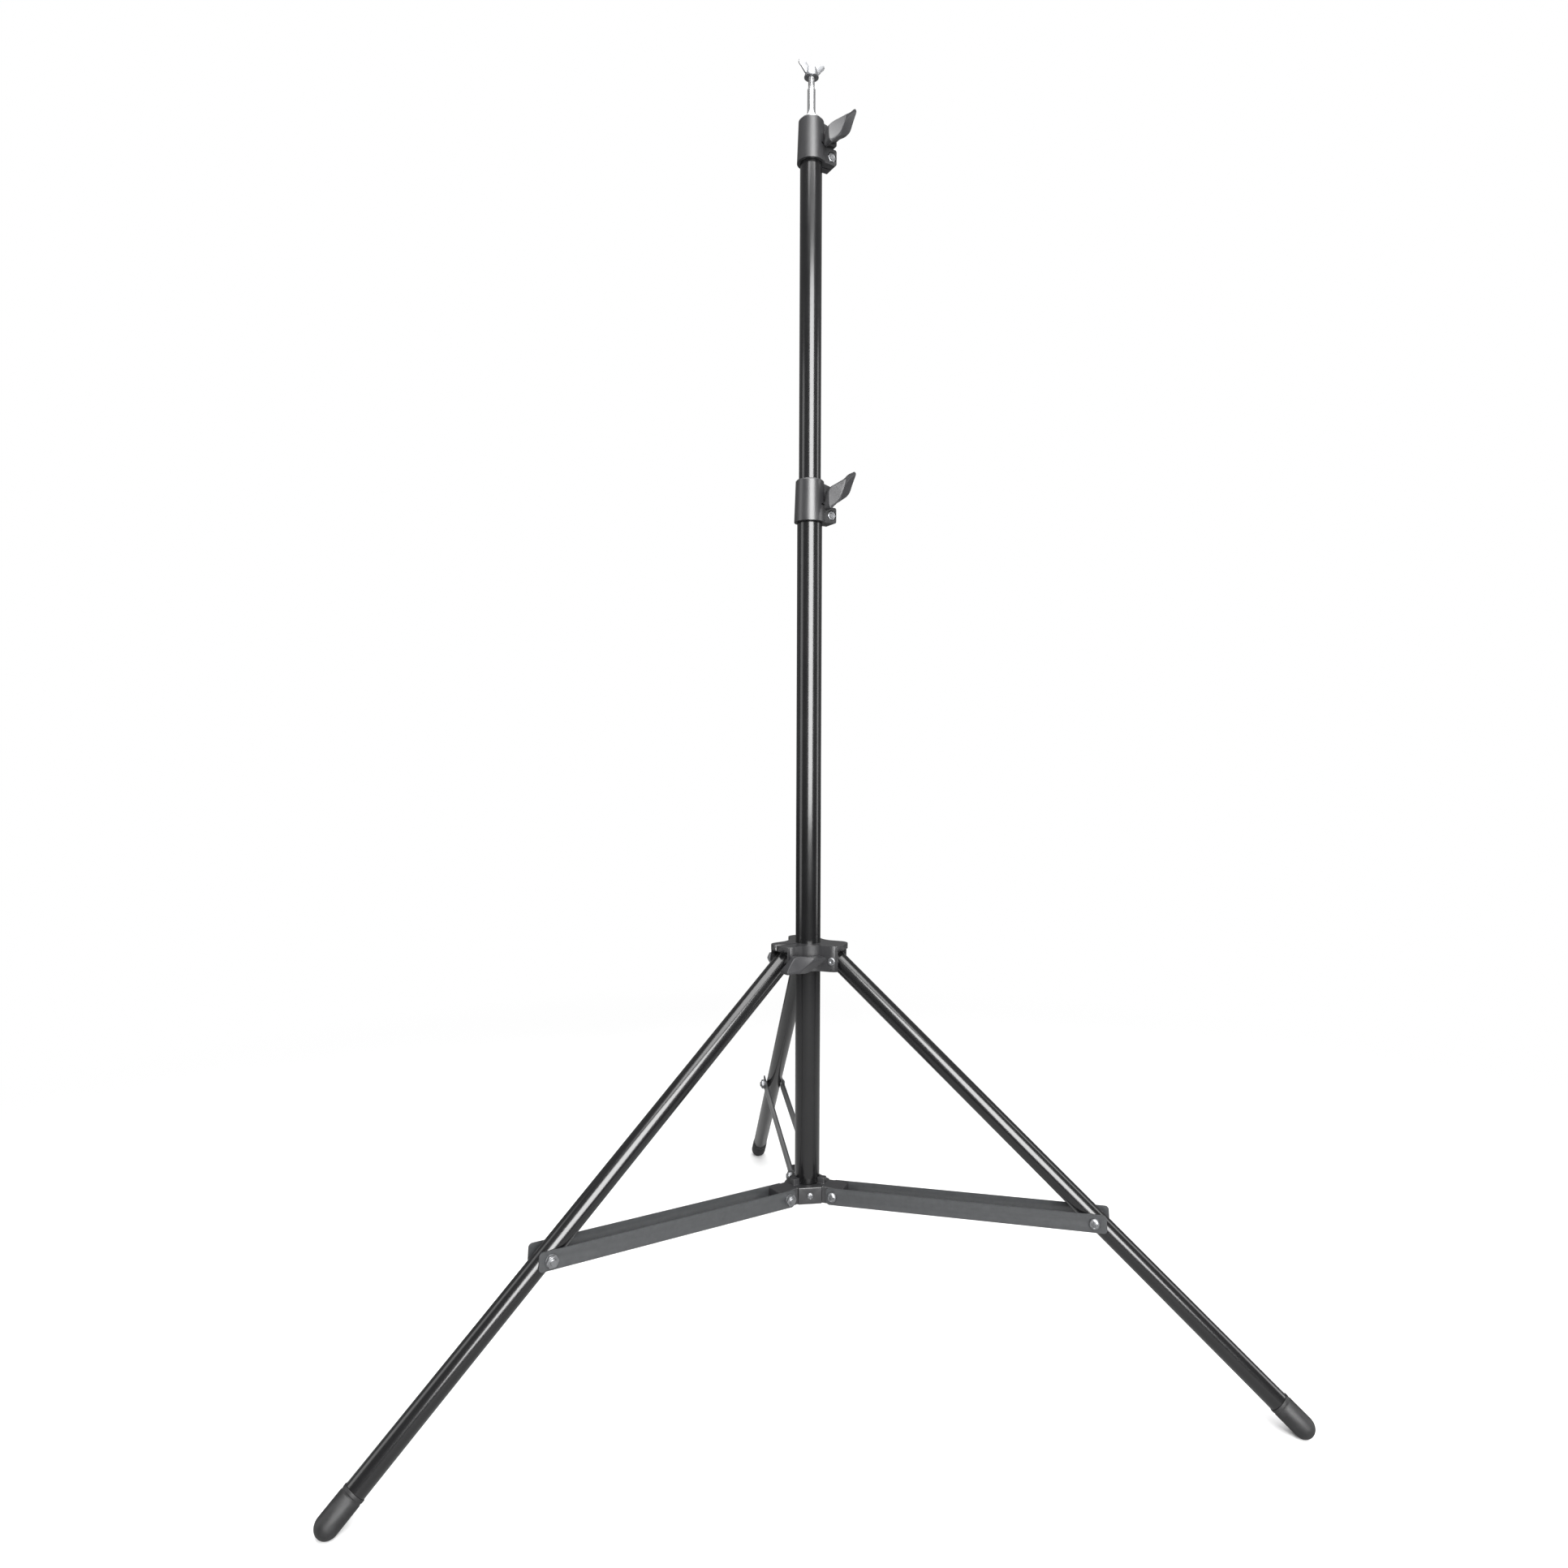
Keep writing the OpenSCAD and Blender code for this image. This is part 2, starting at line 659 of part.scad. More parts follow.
lower_tube();
hub_body();
hub_screws();
hub_pivot_bolts();
hub_pivot_nuts();
clamp_body(lower_clamp_z, lower_r, middle_r);  // lower_clamp_body
clamp_bolt(lower_clamp_z, lower_r);  // lower_clamp_bolt
clamp_nut(lower_clamp_z, lower_r);  // lower_clamp_nut
clamp_captive_nut(lower_clamp_z, lower_r);  // lower_clamp_captive_nut
leg_collar_body();
collar_rivets();
collar_captive_nut();
leg_tube(LEFT);  // left_leg_tube
leg_plug(LEFT);  // left_leg_plug
leg_shank(LEFT);  // left_leg_shank
foot(LEFT);  // left_foot
leg_tube(RIGHT);  // right_leg_tube
leg_plug(RIGHT);  // right_leg_plug
leg_shank(RIGHT);  // right_leg_shank
foot(RIGHT);  // right_foot
leg_tube(REAR);  // rear_leg_tube
leg_plug(REAR);  // rear_leg_plug
leg_shank(REAR);  // rear_leg_shank
foot(REAR);  // rear_foot
brace_bars(LEFT);  // left_brace_bars
brace_bolt(LEFT);  // left_brace_bolt
brace_nut(LEFT);  // left_brace_nut
brace_bars(RIGHT);  // right_brace_bars
brace_bolt(RIGHT);  // right_brace_bolt
brace_nut(RIGHT);  // right_brace_nut
brace_bars(REAR);  // rear_brace_bars
brace_bolt(REAR);  // rear_brace_bolt
brace_nut(REAR);  // rear_brace_nut
guide_bush(lower_bore, middle_bore, middle_tube_z);  // middle_bush
middle_tube();
clamp_body(upper_clamp_z, middle_r, top_r);  // upper_clamp_body
clamp_bolt(upper_clamp_z, middle_r);  // upper_clamp_bolt
clamp_nut(upper_clamp_z, middle_r);  // upper_clamp_nut
clamp_captive_nut(upper_clamp_z, middle_r);  // upper_clamp_captive_nut
guide_bush(middle_bore, top_bore, top_tube_z);  // top_bush
top_tube();
stud_plug();
stud_washer();
wing_nut();
on_clamp_knob(lower_clamp_z, lower_r) knob_grip();  // lower_clamp_knob_grip
on_clamp_knob(lower_clamp_z, lower_r) clamp_screw();  // lower_clamp_knob_screw
on_clamp_knob(upper_clamp_z, middle_r) knob_grip();  // upper_clamp_knob_grip
on_clamp_knob(upper_clamp_z, middle_r) clamp_screw();  // upper_clamp_knob_screw
on_collar_knob() knob_grip();  // collar_knob_grip
on_collar_knob() collar_screw();  // collar_knob_screw
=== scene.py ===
import json
import math

import bmesh
import bpy
from mathutils import Matrix, Vector

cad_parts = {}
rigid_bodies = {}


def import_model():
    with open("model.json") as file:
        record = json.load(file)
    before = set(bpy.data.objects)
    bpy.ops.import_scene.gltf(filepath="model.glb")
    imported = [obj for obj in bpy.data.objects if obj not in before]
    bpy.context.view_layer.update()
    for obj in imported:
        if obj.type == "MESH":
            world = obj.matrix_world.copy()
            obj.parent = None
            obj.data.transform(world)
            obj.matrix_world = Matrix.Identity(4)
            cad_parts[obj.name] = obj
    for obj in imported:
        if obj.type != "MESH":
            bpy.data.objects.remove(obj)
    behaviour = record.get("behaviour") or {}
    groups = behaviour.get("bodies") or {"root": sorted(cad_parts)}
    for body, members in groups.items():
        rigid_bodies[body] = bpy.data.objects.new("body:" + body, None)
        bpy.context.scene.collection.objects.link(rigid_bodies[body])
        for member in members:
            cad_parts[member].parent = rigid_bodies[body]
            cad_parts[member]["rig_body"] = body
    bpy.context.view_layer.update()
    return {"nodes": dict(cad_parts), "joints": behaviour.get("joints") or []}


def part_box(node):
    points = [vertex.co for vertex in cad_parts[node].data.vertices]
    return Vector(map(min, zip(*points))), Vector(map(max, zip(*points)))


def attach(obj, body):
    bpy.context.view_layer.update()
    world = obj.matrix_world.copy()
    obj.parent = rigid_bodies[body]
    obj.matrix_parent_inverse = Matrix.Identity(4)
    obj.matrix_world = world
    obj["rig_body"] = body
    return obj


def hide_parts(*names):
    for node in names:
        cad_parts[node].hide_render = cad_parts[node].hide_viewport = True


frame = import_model()
scene = bpy.context.scene
joints = {joint["name"]: joint for joint in frame["joints"]}
upward = Vector((0, 0, 1))
arms = {"left": math.radians(210), "right": math.radians(330), "rear": math.radians(90)}


# Camera: stands a little to the left of the stand and looks slightly down
view = {
    "eye": (-0.16125, -1.03063, 0.58395),
    "heading": 8.583,
    "pitch": -1.125,
    "roll": 0.222,
    "lens": 23.824,
    "shift": (-0.01217, -0.00707),
}


def addCamera():
    lens = bpy.data.cameras.new("camera")
    lens.sensor_width = 36
    lens.lens = view["lens"]
    lens.shift_x, lens.shift_y = view["shift"]
    lens.clip_start = 0.01
    camera = bpy.data.objects.new("camera", lens)
    scene.collection.objects.link(camera)
    camera.matrix_world = (
        Matrix.Translation(view["eye"])
        @ Matrix.Rotation(-math.radians(view["heading"]), 4, "Z")
        @ Matrix.Rotation(math.radians(90 + view["pitch"]), 4, "X")
        @ Matrix.Rotation(math.radians(view["roll"]), 4, "Z")
    )
    scene.camera = camera


addCamera()
scene.view_settings.view_transform = "Standard"
print("camera placed")


# Shader maths
class Value:
    def __init__(self, shader, socket):
        self.shader = shader
        self.socket = socket

    def maths(self, operation, first, second):
        return self.shader.node("ShaderNodeMath", {"operation": operation}, {0: first, 1: second})

    def __add__(self, other):
        return self.maths("ADD", self, other)

    def __radd__(self, other):
        return self.maths("ADD", other, self)

    def __sub__(self, other):
        return self.maths("SUBTRACT", self, other)

    def __rsub__(self, other):
        return self.maths("SUBTRACT", other, self)

    def __mul__(self, other):
        return self.maths("MULTIPLY", self, other)

    def __rmul__(self, other):
        return self.maths("MULTIPLY", other, self)


class Shader:
    def __init__(self, name):
        self.material = bpy.data.materials.new(name)
        self.material.use_nodes = True
        self.tree = self.material.node_tree
        self.tree.nodes.clear()
        self.principled = self.tree.nodes.new("ShaderNodeBsdfPrincipled")
        output = self.tree.nodes.new("ShaderNodeOutputMaterial")
        self.tree.links.new(self.principled.outputs["BSDF"], output.inputs["Surface"])
        self.place = self.node("ShaderNodeTexCoord", out="Object")

    def join(self, holder, key, value):
        if isinstance(value, Value):
            self.tree.links.new(value.socket, holder.inputs[key])
        else:
            holder.inputs[key].default_value = value

    def node(self, kind, settings=None, sockets=None, out=0):
        made = self.tree.nodes.new(kind)
        for key, value in (settings or {}).items():
            setattr(made, key, value)
        for key, value in (sockets or {}).items():
            self.join(made, key, value)
        return Value(self, made.outputs[out])

    def noise(self, scale, detail=3.0, roughness=0.55, place=None):
        sockets = {"Vector": place or self.place, "Scale": scale, "Detail": detail, "Roughness": roughness}
        return self.node("ShaderNodeTexNoise", None, sockets)

    def stretched(self, stretch):
        return self.node("ShaderNodeMapping", None, {"Vector": self.place, "Scale": stretch})

    def span(self, value, low, high):
        sockets = {"Value": value, "From Min": low, "From Max": high}
        return self.node("ShaderNodeMapRange", {"interpolation_type": "SMOOTHSTEP"}, sockets)

    def mix(self, factor, first, second):
        sockets = {"Factor": factor, 6: (*first, 1), 7: (*second, 1)}
        return self.node("ShaderNodeMix", {"data_type": "RGBA"}, sockets, out=2)

    def bump(self, height, strength, distance, normal=None):
        sockets = {"Height": height, "Strength": strength, "Distance": distance}
        if normal:
            sockets["Normal"] = normal
        return self.node("ShaderNodeBump", None, sockets)

    def set(self, **values):
        for key, value in values.items():
            self.join(self.principled, key.replace("_", " "), value)
        return self.material


# Materials
def glossBlack():
    look = {
        "deep": (0.0022, 0.0022, 0.0024),
        "pale": (0.0055, 0.0055, 0.006),
        "rough": 0.2,
        "cloud": 26,
        "wear": 140,
        "peel": 300,
        "dust": 3800,
    }
    shader = Shader("glossBlack")
    cloud = shader.noise(look["cloud"], 4)
    wear = shader.span(shader.noise(look["wear"], 5, 0.65), 0.52, 0.74)
    peel = shader.noise(look["peel"], 2, 0.4)
    dust = shader.noise(look["dust"], 2, 0.6)
    skin = shader.bump(dust, 0.01, 0.00001, shader.bump(peel, 0.004, 0.00002))
    return shader.set(
        Base_Color=shader.mix(cloud, look["deep"], look["pale"]),
        Roughness=look["rough"] + 0.04 * cloud + 0.02 * wear,
        Normal=skin,
        Coat_Weight=0.25 + 0.1 * cloud,
        Coat_Roughness=0.12,
        IOR=1.5,
    )


def grainedPlastic(name, look):
    shader = Shader(name)
    cloud = shader.noise(55, 4)
    grain = shader.noise(look["grain"], 3, 0.6)
    pores = shader.node(
        "ShaderNodeTexVoronoi", None, {"Vector": shader.place, "Scale": look["grain"] * 0.8}
    )
    scuff = shader.span(shader.noise(240, 6, 0.7, shader.stretched((1, 1, 0.3))), 0.56, 0.78)
    relief = grain * 0.6 + pores * 0.8
    rough = look["rough"] + 0.1 * cloud - 0.06 * scuff
    return shader.set(
        Base_Color=shader.mix(0.65 * cloud + 0.35 * grain, look["deep"], look["pale"]),
        Roughness=rough,
        Normal=shader.bump(cloud, 0.02, 0.0002, shader.bump(relief, look["relief"], 0.0001)),
        Coat_Weight=0.04 * cloud,
        Specular_IOR_Level=look["shine"],
    )


def satinGrey():
    look = {"deep": (0.024, 0.025, 0.0265), "pale": (0.046, 0.048, 0.05), "rough": 0.27}
    shader = Shader("satinGrey")
    mottle = shader.noise(210, 5, 0.68)
    peel = shader.noise(900, 2, 0.5)
    chip = shader.span(shader.noise(60, 4), 0.4, 0.7)
    return shader.set(
        Base_Color=shader.mix(mottle, look["deep"], look["pale"]),
        Roughness=look["rough"] + 0.16 * mottle - 0.05 * chip,
        Normal=shader.bump(peel, 0.12, 0.0001, shader.bump(mottle, 0.06, 0.0002)),
        Coat_Weight=0.1 + 0.1 * chip,
    )


def dullRubber():
    look = {"deep": (0.007, 0.007, 0.0075), "pale": (0.02, 0.02, 0.021), "rough": 0.5}
    shader = Shader("dullRubber")
    dirt = shader.span(shader.noise(90, 6, 0.7), 0.42, 0.72)
    grain = shader.noise(2600, 3, 0.6)
    height = shader.node("ShaderNodeSeparateXYZ", None, {0: shader.place}, out=2)
    # Paler and rougher in noise patches towards the bottom, within 12 mm of the floor
    paleLow = shader.span(height, 0.012, 0.0) * dirt
    return shader.set(
        Base_Color=shader.mix(0.55 * dirt + 0.6 * paleLow, look["deep"], look["pale"]),
        Roughness=look["rough"] + 0.14 * dirt + 0.08 * paleLow,
        Normal=shader.bump(grain, 0.3, 0.0001),
    )


def brightMetal(name, look):
    shader = Shader(name)
    cloud = shader.noise(look["cloud"], 4, 0.6)
    lines = shader.noise(look["lines"], 3, 0.6, shader.stretched(look["stretch"]))
    rough = look["rough"] + look["spread"] * cloud + 0.05 * lines
    return shader.set(
        Base_Color=shader.mix(cloud, look["deep"], look["pale"]),
        Metallic=1.0,
        Roughness=rough,
        Normal=shader.bump(lines, look["relief"], 0.00006),
    )


def acetal():
    look = {"deep": (0.6, 0.6, 0.56), "pale": (0.74, 0.74, 0.7), "rough": 0.36}
    shader = Shader("acetal")
    cloud = shader.noise(70, 3)
    grain = shader.noise(1900, 2)
    return shader.set(
        Base_Color=shader.mix(cloud, look["deep"], look["pale"]),
        Roughness=look["rough"] + 0.12 * cloud,
        Normal=shader.bump(grain, 0.1, 0.00008),
        Subsurface_Weight=0.08,
        Subsurface_Scale=0.002,
    )


bodyPlastic = {
    "deep": (0.010, 0.010, 0.011),
    "pale": (0.020, 0.020, 0.0213),
    "rough": 0.31,
    "grain": 3300,
    "relief": 0.2,
    "shine": 0.8,
}
handPlastic = {
    "deep": (0.013, 0.013, 0.014),
    "pale": (0.026, 0.026, 0.028),
    "rough": 0.31,
    "grain": 3600,
    "relief": 0.18,
    "shine": 0.42,
}
chromeLook = {
    "deep": (0.5, 0.505, 0.515),
    "pale": (0.62, 0.625, 0.63),
    "cloud": 60,
    "lines": 500,
    "stretch": (1, 1, 6),
    "rough": 0.3,
    "spread": 0.06,
    "relief": 0.01,
}
zincLook = {
    "deep": (0.23, 0.235, 0.245),
    "pale": (0.36, 0.365, 0.375),
    "cloud": 320,
    "lines": 1400,
    "stretch": (1, 1, 1),
    "rough": 0.36,
    "spread": 0.1,
    "relief": 0.02,
}
materials = {
    "black_tube": glossBlack(),
    "black_plastic": grainedPlastic("bodyPlastic", bodyPlastic),
    "knob_plastic": grainedPlastic("handPlastic", handPlastic),
    "foot_rubber": dullRubber(),
    "grey_paint": satinGrey(),
    "bush_plastic": acetal(),
    "stud_chrome": brightMetal("studChrome", chromeLook),
    "zinc_plate": brightMetal("zincPlate", zincLook),
}
print("materials made")


# Mesh building
def bodyOf(node):
    return frame["nodes"][node]["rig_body"]


def middle(node):
    low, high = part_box(node)
    return (Vector(low) + Vector(high)) / 2


def smooth(mesh, angle=32):
    mesh.shade_smooth()
    mesh.set_sharp_from_angle(angle=math.radians(angle))


def finished(name, mesh, nodes, slotName, body=None, angle=32):
    nodes = [nodes] if isinstance(nodes, str) else list(nodes)
    smooth(mesh, angle)
    mesh.materials.clear()
    mesh.materials.append(materials[slotName])
    piece = bpy.data.objects.new(name, mesh)
    scene.collection.objects.link(piece)
    if nodes:
        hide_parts(*nodes)
    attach(piece, body or bodyOf(nodes[0]))
    return piece


def meshFrom(builder, name):
    bmesh.ops.remove_doubles(builder, verts=builder.verts, dist=1e-7)
    bmesh.ops.recalc_face_normals(builder, faces=builder.faces)
    mesh = bpy.data.meshes.new(name)
    builder.to_mesh(mesh)
    builder.free()
    return mesh


def joined(name, parts):
    builder = bmesh.new()
    for mesh, place in parts:
        piece = mesh.copy()
        piece.transform(place)
        builder.from_mesh(piece)
        bpy.data.meshes.remove(piece)
    bmesh.ops.recalc_face_normals(builder, faces=builder.faces)
    mesh = bpy.data.meshes.new(name)
    builder.to_mesh(mesh)
    builder.free()
    return mesh


# Rings of (radius, height), each fixed or a function of the angle, joined into one closed skin
def polar(levels, segments=64, name="polar"):
    builder = bmesh.new()
    rings = []
    for level in levels:
        ring = []
        for step in range(segments):
            angle = math.tau * step / segments
            radius, height = level(angle) if callable(level) else level
            ring.append(builder.verts.new((radius * math.cos(angle), radius * math.sin(angle), height)))
        rings.append(ring)
    for low, high in zip(rings, rings[1:]):
        for step in range(segments):
            after = (step + 1) % segments
            builder.faces.new((low[step], low[after], high[after], high[step]))
    return meshFrom(builder, name)


# Points (a, b, fillet): each corner with a fillet becomes a short curve
def rounded(points, steps=4, closed=False):
    made = []
    count = len(points)
    for index, (a, b, fillet) in enumerate(points):
        here = Vector((a, b))
        ends = not closed and index in (0, count - 1)
        if ends or fillet == 0:
            made.append((a, b))
            continue
        back = Vector(points[index - 1][:2]) - here
        ahead = Vector(points[(index + 1) % count][:2]) - here
        reach = min(fillet, back.length * 0.48, ahead.length * 0.48)
        start = here + back.normalized() * reach
        stop = here + ahead.normalized() * reach
        for step in range(steps + 1):
            t = step / steps
            spot = start * (1 - t) ** 2 + here * 2 * t * (1 - t) + stop * t**2
            made.append((spot.x, spot.y))
    return made


def basis(origin, along, across=None):
    along = Vector(along).normalized()
    across = Vector(across) if across else upward.cross(along)
    side = (across - along * across.dot(along)).normalized()
    turn = Matrix((side, along.cross(side), along)).transposed()
    return Matrix.Translation(origin) @ turn.to_4x4()


# Geometry Nodes
class Tree:
    def __init__(self, name, inputs):
        self.group = bpy.data.node_groups.new(name, "GeometryNodeTree")
        for label, kind in inputs.items():
            self.group.interface.new_socket(label, in_out="INPUT", socket_type=kind)
        self.group.interface.new_socket("Geometry", in_out="OUTPUT", socket_type="NodeSocketGeometry")
        self.entry = self.group.nodes.new("NodeGroupInput")
        self.exit = self.group.nodes.new("NodeGroupOutput")

    def given(self, label):
        return self.entry.outputs[label]

    def node(self, kind, settings=None, sockets=None):
        made = self.group.nodes.new(kind)
        for key, value in (settings or {}).items():
            setattr(made, key, value)
        for key, value in (sockets or {}).items():
            if isinstance(value, bpy.types.NodeSocket):
                self.group.links.new(value, made.inputs[key])
            else:
                made.inputs[key].default_value = value
        return made

    def maths(self, operation, first, second):
        return self.node("ShaderNodeMath", {"operation": operation}, {0: first, 1: second}).outputs[0]

    def close(self, geometry, material):
        whole = self.node("GeometryNodeRealizeInstances", None, {"Geometry": geometry})
        painted = self.node(
            "GeometryNodeSetMaterial", None, {"Geometry": whole.outputs[0], "Material": material}
        )
        self.group.links.new(painted.outputs[0], self.exit.inputs[0])
        return self.group


# A tube: a rectangle with round corners, its wall, swept round a circle
def tubeTree():
    tree = Tree(
        "tubeTree",
        {
            "Outer Radius": "NodeSocketFloat",
            "Wall": "NodeSocketFloat",
            "Length": "NodeSocketFloat",
            "Base": "NodeSocketFloat",
            "Edge": "NodeSocketFloat",
            "Segments": "NodeSocketInt",
            "Material": "NodeSocketMaterial",
        },
    )
    half = tree.maths("MULTIPLY", tree.given("Wall"), 0.5)
    mid = tree.maths("SUBTRACT", tree.given("Outer Radius"), half)
    path = tree.node(
        "GeometryNodeCurvePrimitiveCircle",
        {"mode": "RADIUS"},
        {"Resolution": tree.given("Segments"), "Radius": mid},
    )
    wall = tree.node(
        "GeometryNodeCurvePrimitiveQuadrilateral",
        {"mode": "RECTANGLE"},
        {"Width": tree.given("Wall"), "Height": tree.given("Length")},
    )
    soft = tree.node(
        "GeometryNodeFilletCurve",
        {"mode": "POLY"},
        {"Curve": wall.outputs[0], "Radius": tree.given("Edge"), "Count": 3},
    )
    swept = tree.node(
        "GeometryNodeCurveToMesh", None, {"Curve": path.outputs[0], "Profile Curve": soft.outputs[0]}
    )
    middleHeight = tree.maths("MULTIPLY", tree.given("Length"), 0.5)
    lift = tree.node(
        "ShaderNodeCombineXYZ", None, {"Z": tree.maths("ADD", tree.given("Base"), middleHeight)}
    )
    moved = tree.node(
        "GeometryNodeTransform", None, {"Geometry": swept.outputs[0], "Translation": lift.outputs[0]}
    )
    return tree.close(moved.outputs[0], tree.given("Material"))


# One template set round the column: instances at even turns, each moved out along its own arm
def armTree():
    tree = Tree(
        "armTree",
        {
            "Template": "NodeSocketObject",
            "Count": "NodeSocketInt",
            "First Turn": "NodeSocketFloat",
            "Step": "NodeSocketFloat",
            "Offset": "NodeSocketVector",
            "Material": "NodeSocketMaterial",
        },
    )
    template = tree.node("GeometryNodeObjectInfo", None, {"Object": tree.given("Template")})
    points = tree.node("GeometryNodePoints", None, {"Count": tree.given("Count")})
    index = tree.node("GeometryNodeInputIndex")
    stepped = tree.maths("MULTIPLY", index.outputs[0], tree.given("Step"))
    turn = tree.maths("ADD", stepped, tree.given("First Turn"))
    spin = tree.node("ShaderNodeCombineXYZ", None, {"Z": turn})
    placed = tree.node(
        "GeometryNodeInstanceOnPoints",
        None,
        {
            "Points": points.outputs[0],
            "Instance": template.outputs["Geometry"],
            "Rotation": spin.outputs[0],
        },
    )
    moved = tree.node(
        "GeometryNodeTranslateInstances",
        None,
        {"Instances": placed.outputs[0], "Translation": tree.given("Offset"), "Local Space": True},
    )
    return tree.close(moved.outputs[0], tree.given("Material"))


def grown(name, group, values):
    carrier = bpy.data.objects.new(name, bpy.data.meshes.new(name))
    scene.collection.objects.link(carrier)
    modifier = carrier.modifiers.new("grow", "NODES")
    modifier.node_group = group
    for item in group.interface.items_tree:
        if item.in_out == "INPUT" and item.name in values:
            modifier[item.identifier] = values[item.name]
    carrier.update_tag()
    depsgraph = bpy.context.evaluated_depsgraph_get()
    mesh = bpy.data.meshes.new_from_object(carrier.evaluated_get(depsgraph))
    carrier.modifiers.remove(modifier)
    bpy.data.objects.remove(carrier)
    return mesh


tubeGroup = tubeTree()
columnGroup = armTree()


def tubeMesh(name, outer, wall, base, length, edge, slotName, segments=96):
    values = {
        "Outer Radius": outer,
        "Wall": wall,
        "Length": length,
        "Base": base,
        "Edge": edge,
        "Segments": segments,
        "Material": materials[slotName],
    }
    return grown(name, tubeGroup, values)


def roundColumn(name, template, offset, slotName, first, count=3, step=120):
    carrier = bpy.data.objects.new("template", template)
    scene.collection.objects.link(carrier)
    values = {
        "Template": carrier,
        "Count": count,
        "First Turn": first,
        "Step": math.radians(step),
        "Offset": offset,
        "Material": materials[slotName],
    }
    mesh = grown(name, columnGroup, values)
    bpy.data.objects.remove(carrier)
    return mesh


# Column tubes
column = {"edge": 0.00035, "wall": 0.0012}


def columnTube(name, node):
    low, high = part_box(node)
    outer = (high[0] - low[0]) / 2
    mesh = tubeMesh(name, outer, column["wall"], low[2], high[2] - low[2], column["edge"], "black_tube")
    return finished(name, mesh, node, "black_tube", angle=40)


for node in ("lower_tube", "middle_tube", "top_tube"):
    columnTube(node.split("_")[0] + "Column", node)
print("column tubes built")


# Legs: tube and rubber foot, drawn along the leg's own axis from its pivot
leg = {
    "outer": 0.009,
    "wall": 0.001,
    "above": 0.002,
    "edge": 0.0003,
    "footWall": 0.0006,
    "sleeve": 0.026,
    "lip": 0.0009,
    "seat": 0.004,
    "flat": 0.0006,
    "fit": 0.00005,
    "steps": 14,
}


def legPlace(side):
    pivot = Vector(joints[side + "_leg_pivot"]["pos_m"])
    return basis(pivot, middle(side + "_leg_shank") - pivot, joints[side + "_leg_pivot"]["axis"])


def footCentre(side):
    place = legPlace(side)
    down = (place.to_3x3() @ upward).z
    pad = leg["outer"] + leg["footWall"]
    return (place.translation.z - (pad - leg["flat"])) / -down


def buildLeg(side):
    place = legPlace(side)
    length = footCentre(side)
    tube = tubeMesh(
        side + "LegTube",
        leg["outer"],
        leg["wall"],
        -leg["above"],
        length + leg["above"] - leg["seat"],
        leg["edge"],
        "black_tube",
    )
    tube.transform(place)
    finished(side + "Leg", tube, side + "_leg_tube", "black_tube", angle=40)

    pad = leg["outer"] + leg["footWall"]
    start = length - leg["sleeve"]
    steps = leg["steps"]
    within = leg["outer"] + leg["fit"]
    outline = [
        (within, start + leg["seat"], 0),
        (within, start, 0.0001),
        (pad - 0.0001, start, 0.0003),
        (pad, start + 0.0004, 0.0002),
        (pad, start + 0.0024, 0.0002),
        (pad - 0.0004, start + 0.003, 0.0002),
        (pad - 0.0004, start + 0.0042, 0.0002),
        (pad, start + 0.0048, 0.0002),
    ]
    profile = rounded(outline, 3)
    for step in range(steps + 1):
        angle = math.pi / 2 * step / steps
        profile.append((pad * math.cos(angle), length + pad * math.sin(angle)))
    inner = [(0, length - leg["seat"]), (within, length - leg["seat"])]
    foot = polar(inner + profile, 72, side + "Foot")
    foot.transform(place)
    for vertex in foot.vertices:
        vertex.co.z = max(vertex.co.z, 0.0)
    finished(side + "Foot", foot, side + "_foot", "foot_rubber", angle=50)


for side in arms:
    buildLeg(side)
print("legs built")


# Fasteners, each drawn on its own axis with its seat at height 0
hardware = {
    "head": 0.005,
    "headHeight": 0.0036,
    "recess": 0.0013,
    "nut": 0.010,
    "nutHeight": 0.0038,
    "flange": 0.0009,
    "nylon": 0.0006,
    "fit": 0.00004,
    "shaft": 0.003,
    "overlap": 0.0005,
    "tail": 0.0035,
    "pitch": 0.001,
    "thread": 0.00045,
}


def hexRadius(angle, flats):
    sector = math.radians(60)
    return flats / 2 / math.cos((angle % sector) - sector / 2)


# Proportions of a nut, as shares of its inscribed radius
hexShape = {
    "slope": math.tan(math.radians(24)),
    "crown": 0.965,
    "face": 0.955,
    "flange": 1.1,
    "root": 0.9,
    "collarFoot": 0.86,
    "collarEdge": 0.80,
    "collarTop": 0.60,
    "mouth": 1.12,
}


# A hexagon nut with chamfered corners, a thin flange below and a nylon collar on top
def hexNut(flats, height, bore, flange=0.0, collar=0.0):
    inscribed = flats / 2

    def corner(angle):
        radius = hexRadius(angle, flats)
        over = max(0.0, radius - inscribed * hexShape["crown"])
        return radius, over * hexShape["slope"]

    def low(angle):
        radius, rise = corner(angle)
        return radius, rise + flange

    def high(angle):
        radius, fall = corner(angle)
        return radius, height - fall

    levels = [(bore, 0.0)]
    if flange:
        wide = inscribed * hexShape["flange"]
        outline = [(bore, 0, 0), (wide, 0, flange / 3), (wide, flange, flange / 3)]
        outline += [(inscribed * hexShape["root"], flange, 0)]
        levels += rounded(outline, 2)
    face = inscribed * hexShape["face"]
    levels += [(face, flange), low, high, (face, height)]
    top = height
    if collar:
        top = height + collar
        outline = [
            (inscribed * hexShape["collarFoot"], height, 0),
            (inscribed * hexShape["collarEdge"], top, collar * 0.5),
            (inscribed * hexShape["collarTop"], top, 0.0001),
            (bore + 0.0001, top - collar * 0.5, 0),
        ]
        levels += rounded(outline, 3)
        top -= collar * 0.5
    else:
        levels += [(bore * hexShape["mouth"], height)]
    levels += [(bore, top - 0.0002), (bore, 0.0)]
    return polar(levels, 72, "hexNut")


